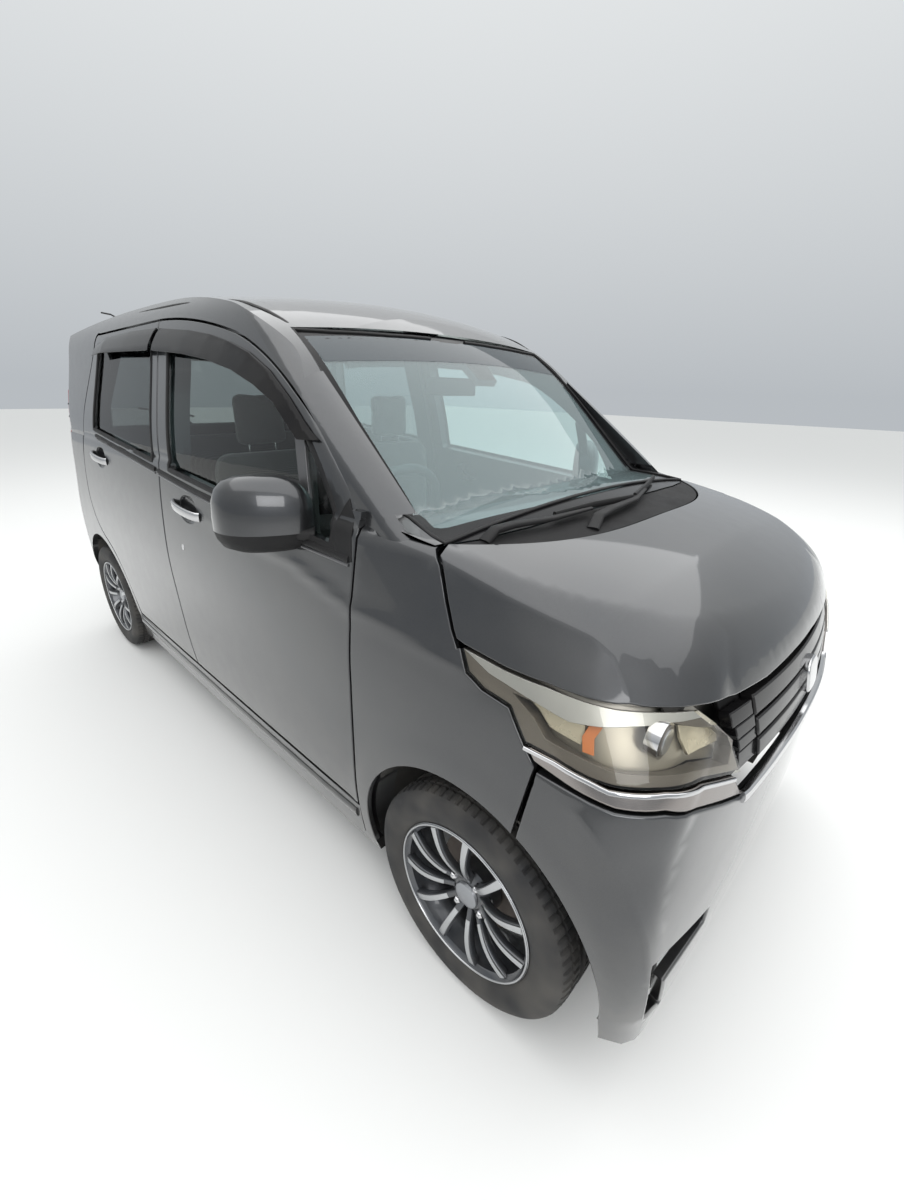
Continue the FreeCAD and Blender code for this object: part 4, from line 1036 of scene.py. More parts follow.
def add_fenders():
    back = DOOR_FRONT + GAP
    loop = [(back - 14, BUMPER_LOW), (back - 14, DOOR_LOW), (back + 6, 700), (back, 1075), (back + 6, 1093),
            (HOOD_BACK - 9, 1070)]
    loop += [(x - 6, z - 2) for x, z in HOOD_SIDE_LINE[:5]]
    loop += FENDER_FRONT
    low_x = arch_x(FRONT_AXLE, ARCH, BUMPER_LOW, -1)
    loop += [(FRONT_AXLE, WHEEL_Z + ARCH, FRONT_AXLE - ARCH, WHEEL_Z),
             (FRONT_AXLE - ARCH + 1, 250, low_x, BUMPER_LOW)]
    piece = panel("fender_skins", [traced(loop, STEP)], SIDE, STEP, PAINT, depth=14, lip=3, form=side_form)[0]
    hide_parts("front_fenders")
    outer = SIDE.point(polyline([(DOOR_FRONT + 12, 1086), (HOOD_BACK - 10, 1066)], STEP))
    inner = TOP.point(polyline([(x, y - 3) for x, y in SCREEN_EDGE[:4:-1]], 12))
    ridge_panel("fender_shoulders", TOP.flat(np.concatenate([outer, inner])), SHOULDER_RIDGE, 14, 1, 6, 1.5)
    edge = [(x, y - 3) for x, y in SCREEN_EDGE[:6]] + [(x, y - PILLAR_REACH) for x, y in PILLAR_RIDGE[::-1]]
    ridge_panel("pillar_edges", polyline(edge + edge[:1], 10)[:-1], PILLAR_RIDGE, 12, 0.4, 3, 0.8)


def ring_arc(centre_x, radius, start, end, step):
    """Points of a wheel arch, from one angle to the other, in degrees from forward."""
    count = max(2, round(math.radians(abs(end - start)) * radius / step))
    angles = np.radians(np.linspace(start, end, count + 1))
    return np.stack([centre_x + radius * np.cos(angles), WHEEL_Z + radius * np.sin(angles)], 1)


ARCH = 338
CREASE = [(1494, -718, 720), (1556, -710, 668), (1597, -697, 600), (1631, -680, 504), (1650, -663, 380),
          (1653, -660, 300)]
HOLLOW_AT, HOLLOW_DEEP, HOLLOW_WIDE, HOLLOW_TALL = (1592, -672, 640), 12, 46, 70
CREASE_RISE, CREASE_WIDE = 6, 18
FOG_RECESS = [(1647, -665, 445), (1674, -430, 385), (1672, -425, 335), (1661, -606, 348), (1658, -565, 221),
              (1653, -659, 300)]


def bumper_form(flat):
    """The corner's upright crease with the hollow beside it."""
    flat = np.stack([-np.abs(flat[:, 0]), flat[:, 1]], 1)
    crease, middle = FRONT.flat(CREASE), FRONT.flat([HOLLOW_AT])[0]
    ridge = crease_rise(line_distance(flat, crease), CREASE_RISE, CREASE_WIDE)
    across, up = (flat[:, 0] - middle[0]) / HOLLOW_WIDE, (flat[:, 1] - middle[1]) / HOLLOW_TALL
    skin = FRONT.point(flat)
    return ridge - HOLLOW_DEEP * np.exp(-across ** 2 - up ** 2) + arch_flare(skin[:, 0], skin[:, 2])


GRILLE_LOW = [(1669, -400, 654), (1677, -360, 648), (1690, -200, 655), (1694, 0, 662)]


def add_bumper():
    foot = polyline([(FRONT_AXLE + ARCH + 5, BUMPER_LOW), (FRONT_AXLE + ARCH, WHEEL_Z - 20)], 14)
    arch = ring_arc(FRONT_AXLE, ARCH, 0, 66.5, 14)
    side = SIDE.point(np.concatenate([foot, arch, polyline([(1384, 600), (1408, 750)], STEP)]))
    top = FRONT.point(polyline(FRONT.flat(SHOULDER[1:] + GRILLE_LOW), 16))
    low = FRONT.point(polyline([(0, BUMPER_LOW), (FRONT.flat(side[:1])[0][0] + 12, BUMPER_LOW)], 20))
    half = np.concatenate([low[:-1], side, top])
    half[0, 1] = half[-1, 1] = 0
    recess = near_loop(FRONT, FOG_RECESS, 10)
    loops = [FRONT.flat(mirrored_loop(half)), recess, recess * np.array([-1, 1])]
    crease = polyline(FRONT.flat(CREASE), 14)
    lines = side_by_side(crease) + side_by_side(crease * np.array([-1, 1]))
    piece = panel("bumper_skin", loops, FRONT, 16, PAINT, sides="one", depth=22, lip=6, form=bumper_form,
                  lines=lines)[0]
    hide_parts("front_bumper")
    nose_plate("fog_recesses", FOG_RECESS, GLOSS_BLACK, -24, 4, 0.5)


def nose_plate(name, points, finish, level, depth=6.0, lip=1.2, spacing=14, holes=()):
    """A pair of plates on the nose, drawn by points near the surface of the right side."""
    loops = [near_loop(FRONT, loop) for loop in (points, *holes)]
    return panel(name, loops, FRONT, spacing, finish, level=level, depth=depth, lip=lip)[0]


LAMP_RIM = lifted(LAMP_TOP, -1) + LAMP_INNER + LAMP_BOTTOM + LAMP_OUTER
BEZEL_RIM = lifted(LAMP_TOP, -3) + LAMP_INNER + LAMP_BOTTOM + LAMP_OUTER
BEZEL_WINDOW = STRIP_LOW[1:-1] + [
    (1612, -480, 832), (1636, -440, 790), (1640, -455, 752), (1612, -560, 785), (1576, -628, 792),
    (1520, -672, 795), (1462, -692, 806), (1408, -699, 812), (1380, -700, 838), (1330, -697, 862)]
OUTER_ELEMENT = [(1335, -690, 866), (1388, -691, 858), (1439, -683, 849), (1466, -672, 848),
                 (1474, -683, 830), (1472, -690, 812), (1412, -699, 822), (1388, -700, 842)]
AMBER_ELEMENT = [(1472, -668, 851), (1492, -655, 852), (1486, -674, 830), (1492, -681, 806),
                 (1474, -689, 808), (1468, -684, 830)]
REFLECTOR = [(1578, -556, 856), (1604, -510, 852), (1630, -462, 812), (1634, -464, 782), (1610, -556, 792),
             (1590, -560, 822)]
PROJECTOR, PROJECTOR_LEVEL = (1566, -577, 830), -14.0
# The projector's rings: name, radius, front and back behind the centre, finish
PROJECTOR_RINGS = (("projector_ring", 34, 6, 30, CHROME), ("projector_hood", 28, 4, 30, LAMP_DARK),
                   ("projector_glass", 23, 2, 30, LAMP_SILVER))


def add_lamps():
    lens = nose_plate("headlamp_lenses", LAMP_RIM, LENS, -1.0, 3.0)
    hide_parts("headlamps")
    nose_plate("headlamp_bowls", LAMP_RIM, LAMP_BOWL, -44.0, 8.0)
    nose_plate("headlamp_strips", lifted(LAMP_TOP, -3) + STRIP_LOW[::-1], LAMP_SILVER, -5.0, 4.0)
    nose_plate("headlamp_bezels", BEZEL_RIM, LAMP_DARK, -7.0, 30.0, 1.5, 12, [BEZEL_WINDOW])
    nose_plate("headlamp_outer_elements", OUTER_ELEMENT, BEIGE, -26.0)
    nose_plate("headlamp_ambers", AMBER_ELEMENT, AMBER, -16.0)
    nose_plate("headlamp_reflectors", REFLECTOR, BEIGE, -30.0)
    centre = FRONT.point(FRONT.flat([PROJECTOR]), PROJECTOR_LEVEL)[0]
    for name, radius, front, back, finish in PROJECTOR_RINGS:
        path = [centre - (back, 0, 0), centre - (front, 0, 0)]
        place("headlamp_" + name, swept(path, (0, 0, 1), ring(radius, radius, 28)), finish, sides="pair")


CHROME_TOP = [(1376, -714, 786), (1436, -710, 787), (1498, -699, 778), (1527, -689, 771), (1595, -627, 770),
              (1630, -550, 756), (1656, -440, 720)]
CHROME_FOOT = [(1669, -394, 657), (1654, -477, 686), (1605, -637, 741), (1545, -694, 743), (1507, -708, 749),
               (1399, -717, 764)]
GRILLE_BACK = [(0, 660), (-400, 655), (-446, 760), (-500, 846), (0, 858)]
GRILLE_FOOT = [(1669, -400, 655), (1676, -380, 652), (1688, -200, 667), (1692, 0, 674)]
BADGE_HALF, BADGE_Z = (46, 40), 768
# Rows of the grille: outer and inner y, then low and high z; and outer y, low and high z
BLOCK_ROWS = [(-492, -392, 808, 836), (-462, -372, 777, 803), (-442, -356, 746, 772), (-430, -342, 700, 741)]
SLAT_ROWS = [(-380, 798, 840), (-360, 752, 791), (-344, 702, 745)]


def nose_bar(name, half, finish, level, depth, lip=2.0, spacing=18):
    """One plate across the nose, symmetric, from its right half in (y, z)."""
    half = polyline([(NOSE, y, z) for y, z in half], 12)
    loop = mirrored_loop(FRONT.point(FRONT.flat(half)))
    return panel(name, [FRONT.flat(loop)], FRONT, spacing, finish, sides="one", level=level, depth=depth,
                 lip=lip)[0]


def add_grille():
    back = nose_bar("grille_back", GRILLE_BACK, BLACK_TRIM, -40, 6)
    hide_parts("grille")
    nose_plate("chrome_strips", CHROME_TOP + CHROME_FOOT, STRIP_CHROME, -3, 26, 5)
    line = polyline(FRONT.flat(lifted(CHROME_TOP, -4)), 14)
    place("chrome_strip_lines", bead(line, FRONT, 4, 3, -1), CHROME, sides="pair")
    for number, (outer, inner, low, high) in enumerate(BLOCK_ROWS):
        spot = [(NOSE, outer, high), (NOSE, inner, high), (NOSE, inner + 8, low), (NOSE, outer + 10, low)]
        nose_plate("grille_blocks_%d" % number, spot, GLOSS_BLACK, -8 - 3 * number, 22, 3, 10)
    for number, (outer, low, high) in enumerate(SLAT_ROWS):
        nose_bar("grille_slat_%d" % number, [(0, low), (outer + 12, low), (outer, high), (0, high)],
                 GLOSS_BLACK, -9, 24, 5)
    rim = FRONT.flat(GRILLE_FOOT)
    rim = np.concatenate([rim, rim[-2::-1] * np.array([-1, 1])])
    place("grille_chrome", bead(polyline(rim, 16), FRONT, 12, 9, -2), CHROME)
    panel("nose_badge", [ring(*BADGE_HALF, 40, 0.6) + np.array([0, BADGE_Z])], FRONT, 12, CHROME, sides="one",
          level=3, depth=14, lip=5)


def mirrored_line(half):
    """A line on the top from its right half, which starts at the middle or comes near it."""
    half = np.array(half, float)
    return np.concatenate([half, half[::-1] * np.array([1, -1])])


COWL_REAR = [(1083, -611), (1112, -540), (1139, -400), (1154, -228), (1160, -80)]
CLEAR_EDGE = [(499, -80), (488, -400), (483, -520), (558, -527), (633, -533), (711, -537), (880, -537),
              (921, -541), (958, -552), (987, -566), (1006, -573), (1020, -566), (1028, -548), (1043, -452),
              (1079, -228), (1093, -80)]
BAND_LOW = [(578, -60), (576, -200), (568, -380), (557, -524)]
BAND_TOP = [(470, -524), (484, -300), (490, -60)]
CAMERA = [(572, -14), (572, 98), (632, 84), (632, -10)]
SCREEN_TOP, SCREEN_TUCK = [(484, -80), (478, -250), (462, -430)], 14
# How far the printed edge, the glass and the shade band lie outside the body
FRIT_LEVEL, GLASS_LEVEL, BAND_LEVEL = -2.4, -3.2, -2.3
ROOM_MIRROR = ((500, -118, 1336), (512, 118, 1392), 5)


def add_windscreen():
    tucked = [(x - SCREEN_TUCK, y) for x, y in SCREEN_TOP + SCREEN_EDGE[:1]]
    outline = polyline(mirrored_line(tucked + SCREEN_EDGE[1:-1] + COWL_REAR), 16)
    clear = polyline(mirrored_line(CLEAR_EDGE), 14)
    panel("screen_frit", [outline, clear], TOP, 14, FRIT, sides="one", level=FRIT_LEVEL, depth=0.5, lip=0.2)
    glass = panel("screen_glass", [grown(outline, -6)], TOP, 26, SCREEN_GLASS, sides="one",
                  level=GLASS_LEVEL, depth=4, lip=0.5)[0]
    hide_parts("windscreen")
    band = polyline(mirrored_line(BAND_TOP[::-1] + BAND_LOW[::-1]), 20)
    panel("screen_shade_band", [band], TOP, 20, SHADE, sides="one", level=BAND_LEVEL, depth=0.4, lip=0.2)
    panel("camera_housing", [polyline(CAMERA + CAMERA[:1], 12)[:-1]], TOP, 14, BLACK_TRIM, sides="one",
          level=-9, depth=22, lip=4)
    place("rear_view_mirror", brick(*ROOM_MIRROR), BLACK_TRIM)
    rubber = mirrored_line(SCREEN_TOP + SCREEN_EDGE)
    place("screen_rubber", bead(polyline(rubber, 14), TOP, 5, 3.5, 0.8), BLACK_TRIM)
    across = np.linspace(-604, 604, 70)
    rear = mirrored_line(COWL_REAR)[::-1] + np.array([3, 0])
    cowl = np.concatenate([hood_rear(across, 5), polyline(rear, 18)])
    piece = panel("cowl_cover", [cowl], TOP, 18, COWL_BLACK, sides="one", level=-4, depth=6, lip=1.5)[0]
    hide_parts("cowl")


WIPERS = (
    ("near", [(1122, -540, 1066), (1124, -508, 1088), (1133, -461, 1092), (1164, -356, 1095),
              (1181, -210, 1100)], [(1153, -329, 1097), (1166, -177, 1102), (1187, -2, 1101)]),
    ("far", [(1228, -282, 1068), (1212, -229, 1090), (1208, -158, 1096), (1202, -20, 1100),
             (1168, 115, 1106)], [(1187, 10, 1104), (1149, 160, 1106), (1093, 346, 1106)]),
)


def add_wipers():
    for name, arm, blade in WIPERS:
        arm, blade = polyline(arm, 12), polyline(blade, 14)
        widths = np.interp(np.linspace(0, 1, len(arm)), (0, 0.2, 1), (15, 13, 6))
        place("wiper_arm_" + name,
              swept(arm, (0, 0, 1), np.stack([ring(w, 0.55 * w, 12, 0.6) for w in widths])), BLACK_TRIM)
        place("wiper_blade_" + name, swept(blade, (0, 0, 1), ring(5, 8, 8, 0.6)), BLACK_TRIM)


FRONT_VISOR_TOP = [(711, 1242), (675, 1263), (579, 1332), (477, 1392), (367, 1436), (250, 1466),
                   (127, 1489), (-25, 1507), (-262, 1524)]
FRONT_VISOR_LOW = [(-262, 1454), (-13, 1439), (164, 1420), (319, 1393), (442, 1357), (535, 1319), (649, 1241)]
REAR_VISOR_TOP = [(-296, 1526), (-560, 1528), (-850, 1520), (-990, 1496)]
REAR_VISOR_LOW = [(-984, 1452), (-850, 1460), (-560, 1458), (-296, 1455)]
BELTS = {"front": [(866, 1002), (669, 1006), (372, 1018), (60, 1036), (-262, 1063)],
         "rear": [(-292, 1066), (-640, 1095), (-1036, 1126)]}
BELT_DROP = 13
HANDLE = [(-112, 6), (-90, 5), (-40, 2), (20, -2), (78, -8), (96, -10)]
HANDLE_STAND, VISOR_STAND, VISOR_RUN = 22, 26, 60
# Small plates of the front doors: name, outline, finish, mesh step, level, depth, lip
DOOR_PLATES = (
    ("keyhole_%s", oval((-73, 828), 9, 11, 20), CHROME, 6, 2, 4, 1.5),
    ("quarter_bar_%s", traced([(604, 1240), (646, 1240), (694, 1012), (660, 1010)], 12), SATIN_GREY, 10, -2,
     8, 2),
    ("mirror_sail_%s", traced([(876, 998), (864, 1068), (828, 1129), (800, 1090), (782, 1012)], 10),
     BLACK_TRIM, 10, 2, 10, 2),
)


def add_side_trim():
    for label, top, low, window in (("front", FRONT_VISOR_TOP, FRONT_VISOR_LOW, FRONT_WINDOW),
                                    ("rear", REAR_VISOR_TOP, REAR_VISOR_LOW, REAR_WINDOW)):
        body, edge = label + "_door_%s", np.array(top, float)

        def visor_form(flat, edge=edge):
            return VISOR_STAND * np.minimum(line_distance(flat, edge) / VISOR_RUN, 1) ** 0.7

        panel("visor_%s_%%s" % label, [traced(top + low, 16)], SIDE, 16, SMOKE, body, "both", level=5,
              depth=3, lip=1.4, form=visor_form)
        place("window_rubber_%s_%%s" % label, bead(traced(window, 16), SIDE, 9, 4, -1.5, True), BLACK_TRIM,
              body, "both")
    for label, line in BELTS.items():
        body, line = label + "_door_%s", polyline(line, 20)
        place("belt_trim_%s_%%s" % label, bead(line, SIDE, 8, 5, 0.5), BLACK_TRIM, body, "both")
        place("belt_line_%s_%%s" % label, bead(line - np.array([0, BELT_DROP]), SIDE, 3.5, 2.5, 0.5),
              SATIN_GREY, body, "both")
        path = SIDE.point(polyline(np.array(HANDLE, float) + CUPS[label], 10))
        bow = np.sin(np.pi * np.linspace(0, 1, len(path))) ** 0.5
        path = path + np.outer(HANDLE_STAND * bow, (0, -1, 0))
        place("door_handle_%s_%%s" % label, swept(path, (0, -1, 0), ring(15, 7, 14, 0.7)), CHROME, body,
              "both")
    for name, outline, finish, step, level, depth, lip in DOOR_PLATES:
        panel(name, [outline], SIDE, step, finish, "front_door_%s", "both", level=level, depth=depth, lip=lip)


MIRROR_RINGS = [(0.0, 0.52, 0.62), (0.06, 0.78, 0.86), (0.16, 0.92, 0.96), (0.25, 0.97, 0.99),
                (0.27, 1.0, 1.0), (0.45, 1.0, 1.0), (0.66, 0.95, 0.97), (0.82, 0.82, 0.88),
                (0.92, 0.62, 0.74), (0.98, 0.38, 0.5), (1.0, 0.12, 0.2)]
MIRROR_SPLIT = 4
MIRROR_SWEEP = 0.45
MIRROR_LONG, MIRROR_WIDE, MIRROR_TALL = 156, 202, 182
MIRROR_FLAT, MIRROR_BACK = -34, -35.5


def add_mirrors():
    low, high = (np.array(corner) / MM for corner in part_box("mirror_right"))
    centre_x, bottom = high[0] - 92, high[2] - 178
    outer_y = low[1] - 4
    middle_y, inner_y = outer_y + MIRROR_WIDE / 2, outer_y + MIRROR_WIDE - 22
    rings = []
    for share, deep, across in MIRROR_RINGS:
        points = ring(deep * MIRROR_LONG / 2, across * MIRROR_WIDE / 2, 40, 0.8)
        points[:, 0] = np.maximum(points[:, 0], MIRROR_FLAT)
        rings.append([(centre_x + a + MIRROR_SWEEP * b, middle_y + b, bottom + MIRROR_TALL * share)
                      for a, b in points])

    def add(name, shape, finish, crisp=40):
        return place(name, shape, finish, "front_door_%s", "both", crisp=crisp)

    cap = add("mirror_cap_%s", lofted(rings[MIRROR_SPLIT:]), PAINT, 50)
    for piece, side in zip(cap, ("right", "left")):
        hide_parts("mirror_" + side)
    add("mirror_foot_%s", lofted(rings[:MIRROR_SPLIT + 1]), BLACK_TRIM, 50)
    glass = [(centre_x + MIRROR_BACK + MIRROR_SWEEP * b, middle_y + b, bottom + MIRROR_TALL * 0.5 + a)
             for a, b in ring(62, 84, 32, 0.7)]
    back = [(x + 2, y, z) for x, y, z in glass]
    add("mirror_glass_%s", lofted([glass, back]), MIRROR_GLASS)
    arm = polyline([(centre_x + 8, inner_y - 20, bottom + 20), (centre_x + 30, inner_y + 8, bottom + 22),
                    (centre_x + 62, -698, 1024), (centre_x + 84, -668, 1022)], 10)
    shares = np.linspace(0, 1, len(arm))
    profile = np.stack([ring(34 + 8 * share, 15 + 3 * share, 20, 0.8) for share in shares])
    add("mirror_arm_%s", swept(arm, (0, 0, 1), profile), BLACK_TRIM)


TRACK = 652
WHEELS = (("front", FRONT_AXLE), ("rear", REAR_AXLE))
SPOKES, SPOKE_PHASE, SPOKE_START, SPOKE_LONG = 11, math.radians(153), 44, 136
TREAD_SLOTS, TREAD_DEPTH, TREAD_FROM, TREAD_RIB = 72, 5, 274, 11
NUTS, NUT_PHASE, NUT_CIRCLE = 4, math.radians(57), 50
# Half sections as (radius, outward)
TYRE_PROFILE = [(184, 56), (192, 64), (206, 71), (228, 76.5), (246, 76), (262, 71), (271, 64), (275, 57),
                (277, 44), (277.6, 41), (271, 40), (271, 33), (277.8, 32), (278, 14), (278, 10), (271, 9),
                (271, 0)]
TYRE_INSIDE = [(182, -50), (182, 50)]
RIM_PROFILE = [(191, 62), (193, 66), (191, 69), (186, 68), (183, 62), (177, 58), (172, 30), (160, 10),
               (158, -30), (176, -54), (190, -62), (193, -66), (195, -60), (182, -50), (166, -28), (170, 8),
               (182, 34), (186, 56)]
RIM_LIP = [(192.5, 67), (190, 70), (187, 69.6), (186, 67)]
NUT_PROFILE = [(0.5, 51), (5, 50), (9.5, 45), (10.5, 30), (0.5, 30)]
# What else turns with a rim: name, section, steps round, finish
WHEEL_DISCS = (
    ("rim_%s_hub_%%s", [(0.5, 41), (30, 41), (52, 36), (66, 26), (66, -4), (0.5, -4)], 48, RIM_DARK),
    ("rim_%s_cap_%%s", [(0.5, 50), (22, 49.5), (31, 47), (33, 41), (0.5, 41)], 48, CAP_SILVER),
    ("brake_disc_%s_%%s", [(62, -20), (118, -20), (118, -8), (62, -8)], 64, CAST_IRON),
)


def around(centre, radius, angle, out=0):
    """A spot of a wheel on the right side, by its angle from forward."""
    return (centre[0] + radius * math.cos(angle), centre[1] - out, centre[2] + radius * math.sin(angle))


def tyre_form(centre):
    """The tyre, with slots across its tread at every fourth step round it."""
    profile = TYRE_PROFILE + [(radius, -out) for radius, out in TYRE_PROFILE[-2::-1]] + TYRE_INSIDE
    points, faces = turned(profile, centre, TREAD_SLOTS * 4)
    flat = points.reshape(TREAD_SLOTS * 4, len(profile), 3)
    for step in flat[::4]:
        for column, (radius, out) in enumerate(profile):
            if radius > TREAD_FROM and abs(out) > TREAD_RIB:
                middle = np.array([centre[0], step[column, 1], centre[2]])
                step[column] = middle + (step[column] - middle) * (radius - TREAD_DEPTH) / radius
    return flat.reshape(-1, 3), faces


def spoke_forms(centre):
    """The spokes and their machined faces."""
    spokes, faces_on = [], []
    share = np.linspace(0, 1, 14)
    widths = 8.5 + 3.5 * share ** 2
    for number in range(SPOKES):
        angle = 2 * math.pi * number / SPOKES + SPOKE_PHASE
        out = 32 + 22 * share + 14 * np.sin(math.pi * share)
        path = np.stack(around(centre, SPOKE_START + share * SPOKE_LONG, angle, out), 1)
        spokes.append(swept(path, (0, -1, 0), np.stack([ring(w, 10, 12, 0.6) for w in widths])))
        face_rings = np.stack([ring(w * 0.72, 1.2, 8, 0.5) for w in widths])
        faces_on.append(swept(path[2:] + np.array([0, -10, 0]), (0, -1, 0), face_rings[2:]))
    return joined(*spokes), joined(*faces_on)


def add_wheels():
    for axle, axle_x in WHEELS:
        centre = (axle_x, -TRACK, WHEEL_Z)

        def add(name, shape, finish, crisp=40):
            return place(name % axle, shape, finish, "wheel_%s_%%s" % axle, "both", crisp=crisp)

        tyres = add("tyre_%s_tread_%%s", tyre_form(centre), RUBBER, 28)
        rims = add("rim_%s_barrel_%%s", turned(RIM_PROFILE, centre), RIM_DARK)
        for piece, rim, side in zip(tyres, rims, ("right", "left")):
            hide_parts("tyre_%s_%s" % (axle, side))
            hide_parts("rim_%s_%s" % (axle, side))
        add("rim_%s_lip_%%s", turned(RIM_LIP, centre), MACHINED)
        spokes, faces_on = spoke_forms(centre)
        add("rim_%s_spokes_%%s", spokes, RIM_DARK)
        add("rim_%s_faces_%%s", faces_on, MACHINED)
        for name, profile, count, finish in WHEEL_DISCS:
            add(name, turned(profile, centre, count), finish)
        spots_round = [around(centre, NUT_CIRCLE, 2 * math.pi * number / NUTS + NUT_PHASE)
                       for number in range(NUTS)]
        add("rim_%s_nuts_%%s", joined(*(turned(NUT_PROFILE, spot, 6) for spot in spots_round)), CHROME)


ROOF_DITCH = [(441, -533), (374, -548), (300, -562), (100, -572), (-300, -575), (-900, -573), (-1400, -560)]
ANTENNA = [(-1180, -470, 1622), (-1240, -478, 1640), (-1330, -490, 1652)]
ANTENNA_RADIUS = 3.5
STEP_SHADE_RISE, MUD_FLAP = 34, ((-1600, -706, 120), (-1592, -560, 300), 3)
SKIRT_LINE = [(854, 262), (700, 256), (0, 252), (-700, 252), (-900, 256)]


def add_roof_trim():
    """The ditches along the roof and the folded antenna."""
    place("roof_ditches", bead(polyline(ROOF_DITCH, 20), TOP, 6, 2, 1.5), BLACK_TRIM, sides="pair")
    place("antenna_rod", tube(polyline(ANTENNA, 12), ANTENNA_RADIUS), BLACK_TRIM)
    foot = TOP.point(np.array([ANTENNA[0][:2]]))[0]
    base = np.stack([ring(24, 15, 20), ring(20, 12, 20), ring(9, 7, 20)])
    place("antenna_base", swept([foot - (0, 0, 3), foot + (0, 0, 6), foot + (0, 0, 15)], (0, 1, 0), base),
          BLACK_TRIM)


def add_skirts():
    """The sill's bright ridge, and a flat black strip below the doors that is painted shade of the step."""
    place("skirt_ridges", bead(polyline(SKIRT_LINE, 24), SIDE, 16, 9, 0), PAINT, sides="pair")
    step = polyline([(x, z + STEP_SHADE_RISE) for x, z in SKIRT_LINE], 24)
    # A nearly flat black strip along the step: painted shade of the step below the doors
    place("skirt_step_shades", bead(step, SIDE, 9, 1.5, 0.4), BLACK_TRIM, sides="pair")
    place("mud_flaps", brick(*MUD_FLAP), BLACK_TRIM, sides="pair")


def tail_plate(name, points, finish, body="car_body", sides="pair", **shape):
    """Plates on the tail, drawn by points near the surface."""
    return panel(name, [near_loop(BACK, points)], BACK, 16, finish, body, sides, **shape)[0]


TAIL_LAMP = ((915, 1052), (1058, 1310))
TAIL_RIBS = (1120, 1180, 1240)
PLATE_HALF, PLATE_LOW, PLATE_HIGH, PLATE_RIM = 165, 725, 890, 4
BOLT_Y, BOLT_Z = 105, 862
TAIL_WINDOW = [(-1650, -506, 1114), (-1640, -461, 1484), (-1640, 461, 1484), (-1650, 506, 1114)]
REAR_WIPER = [(-1660, 0, 1085), (-1655, -60, 1140), (-1655, -170, 1190)]
REAR_BLADE = [(-1655, -20, 1165), (-1655, -330, 1215)]
# Plates of the tail: name, corners, finish, body, sides, level, depth, lip
TAIL_TRIM = (
    ("tailgate_garnish", [(-1660, -330, 925), (-1660, -330, 965), (-1660, 330, 965), (-1660, 330, 925)],
     CHROME, "tailgate", "one", 8, 10, 4),
    ("high_stop_lamp", [(-1640, -170, 1532), (-1640, -170, 1548), (-1640, 170, 1548), (-1640, 170, 1532)],
     TAIL_RED, "tailgate", "one", 3, 8, 3),
    ("rear_reflectors", [(-1670, -620, 470), (-1670, -620, 500), (-1685, -500, 500), (-1685, -500, 470)],
     TAIL_RED, "car_body", "pair", 2, 6, 2),
    ("rear_bumper_strip", [(-1690, -520, 300), (-1690, -540, 400), (-1690, 540, 400), (-1690, 520, 300)],
     BLACK_TRIM, "car_body", "one", 1, 6, 3),
)


def tail_patch(low, high):
    """Corners of a patch on the right rear corner between two heights."""
    return [(-1565, -712, low), (-1575, -706, high), (-1660, -606, high), (-1664, -626, low)]


def add_tail():
    clear, red = (tail_patch(*heights) for heights in TAIL_LAMP)
    lamp = tail_plate("tail_lamp_reds", red, TAIL_RED, level=5, depth=12, lip=4)
    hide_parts("tail_lamps")
    tail_plate("tail_lamp_clears", clear, TAIL_CLEAR, level=5, depth=12, lip=4)
    for number, height in enumerate(TAIL_RIBS):
        tail_plate("tail_lamp_ribs_%d" % number, tail_patch(height, height + 7), GLOSS_BLACK,
                   level=6.5, depth=6, lip=1)
    corners = [(-1660, side * PLATE_HALF, z) for side in (-1, 1) for z in (PLATE_LOW, PLATE_HIGH)]
    back_x = BACK.point(BACK.flat(corners + [(-1660, 0, PLATE_LOW)]))[:, 0].min()
    rim = PLATE_HALF + PLATE_RIM
    plate = brick((back_x - 6, -PLATE_HALF, PLATE_LOW), (back_x - 3, PLATE_HALF, PLATE_HIGH), 1.2)
    surround = brick((back_x - 4, -rim, PLATE_LOW - PLATE_RIM), (back_x + 4, rim, PLATE_HIGH + PLATE_RIM), 2)
    place("rear_plate", plate, PLATE_WHITE, "tailgate")
    place("rear_plate_frame", surround, BLACK_TRIM, "tailgate")
    for side, label in ((-1, "right"), (1, "left")):
        bolt = [(back_x - out, side * BOLT_Y, BOLT_Z) for out in (4, 8, 9)]
        place("plate_bolt_" + label, swept(bolt, (0, 0, 1), round_rings((7, 7, 4), 12)),
              CHROME, "tailgate")
    for name, corners, finish, body, sides, level, depth, lip in TAIL_TRIM:
        tail_plate(name, corners, finish, body, sides, level=level, depth=depth, lip=lip)
    place("tail_window_rubber", bead(near_loop(BACK, TAIL_WINDOW, 14), BACK, 10, 4, -1, True), BLACK_TRIM,
          "tailgate")
    arm = BACK.point(BACK.flat(REAR_WIPER), 14)
    place("rear_wiper_arm", swept(polyline(arm, 12), (-1, 0, 0), ring(9, 5, 10, 0.6)), BLACK_TRIM, "tailgate")
    blade = BACK.point(BACK.flat(polyline(REAR_BLADE, 16)), 5)
    place("rear_wiper_blade", swept(blade, (-1, 0, 0), ring(6, 6, 8, 0.6)), BLACK_TRIM, "tailgate")
    hub = BACK.point(BACK.flat(REAR_WIPER[:1]))[0]
    place("rear_wiper_hub", swept([hub + (4, 0, 0), hub - (14, 0, 0), hub - (20, 0, 0)], (0, 0, 1),
                                  round_rings((24, 22, 12), 20)), BLACK_TRIM, "tailgate")


PAD_ROWS, PAD_SQUARE, PAD_TIP = 20, 0.32, 0.02


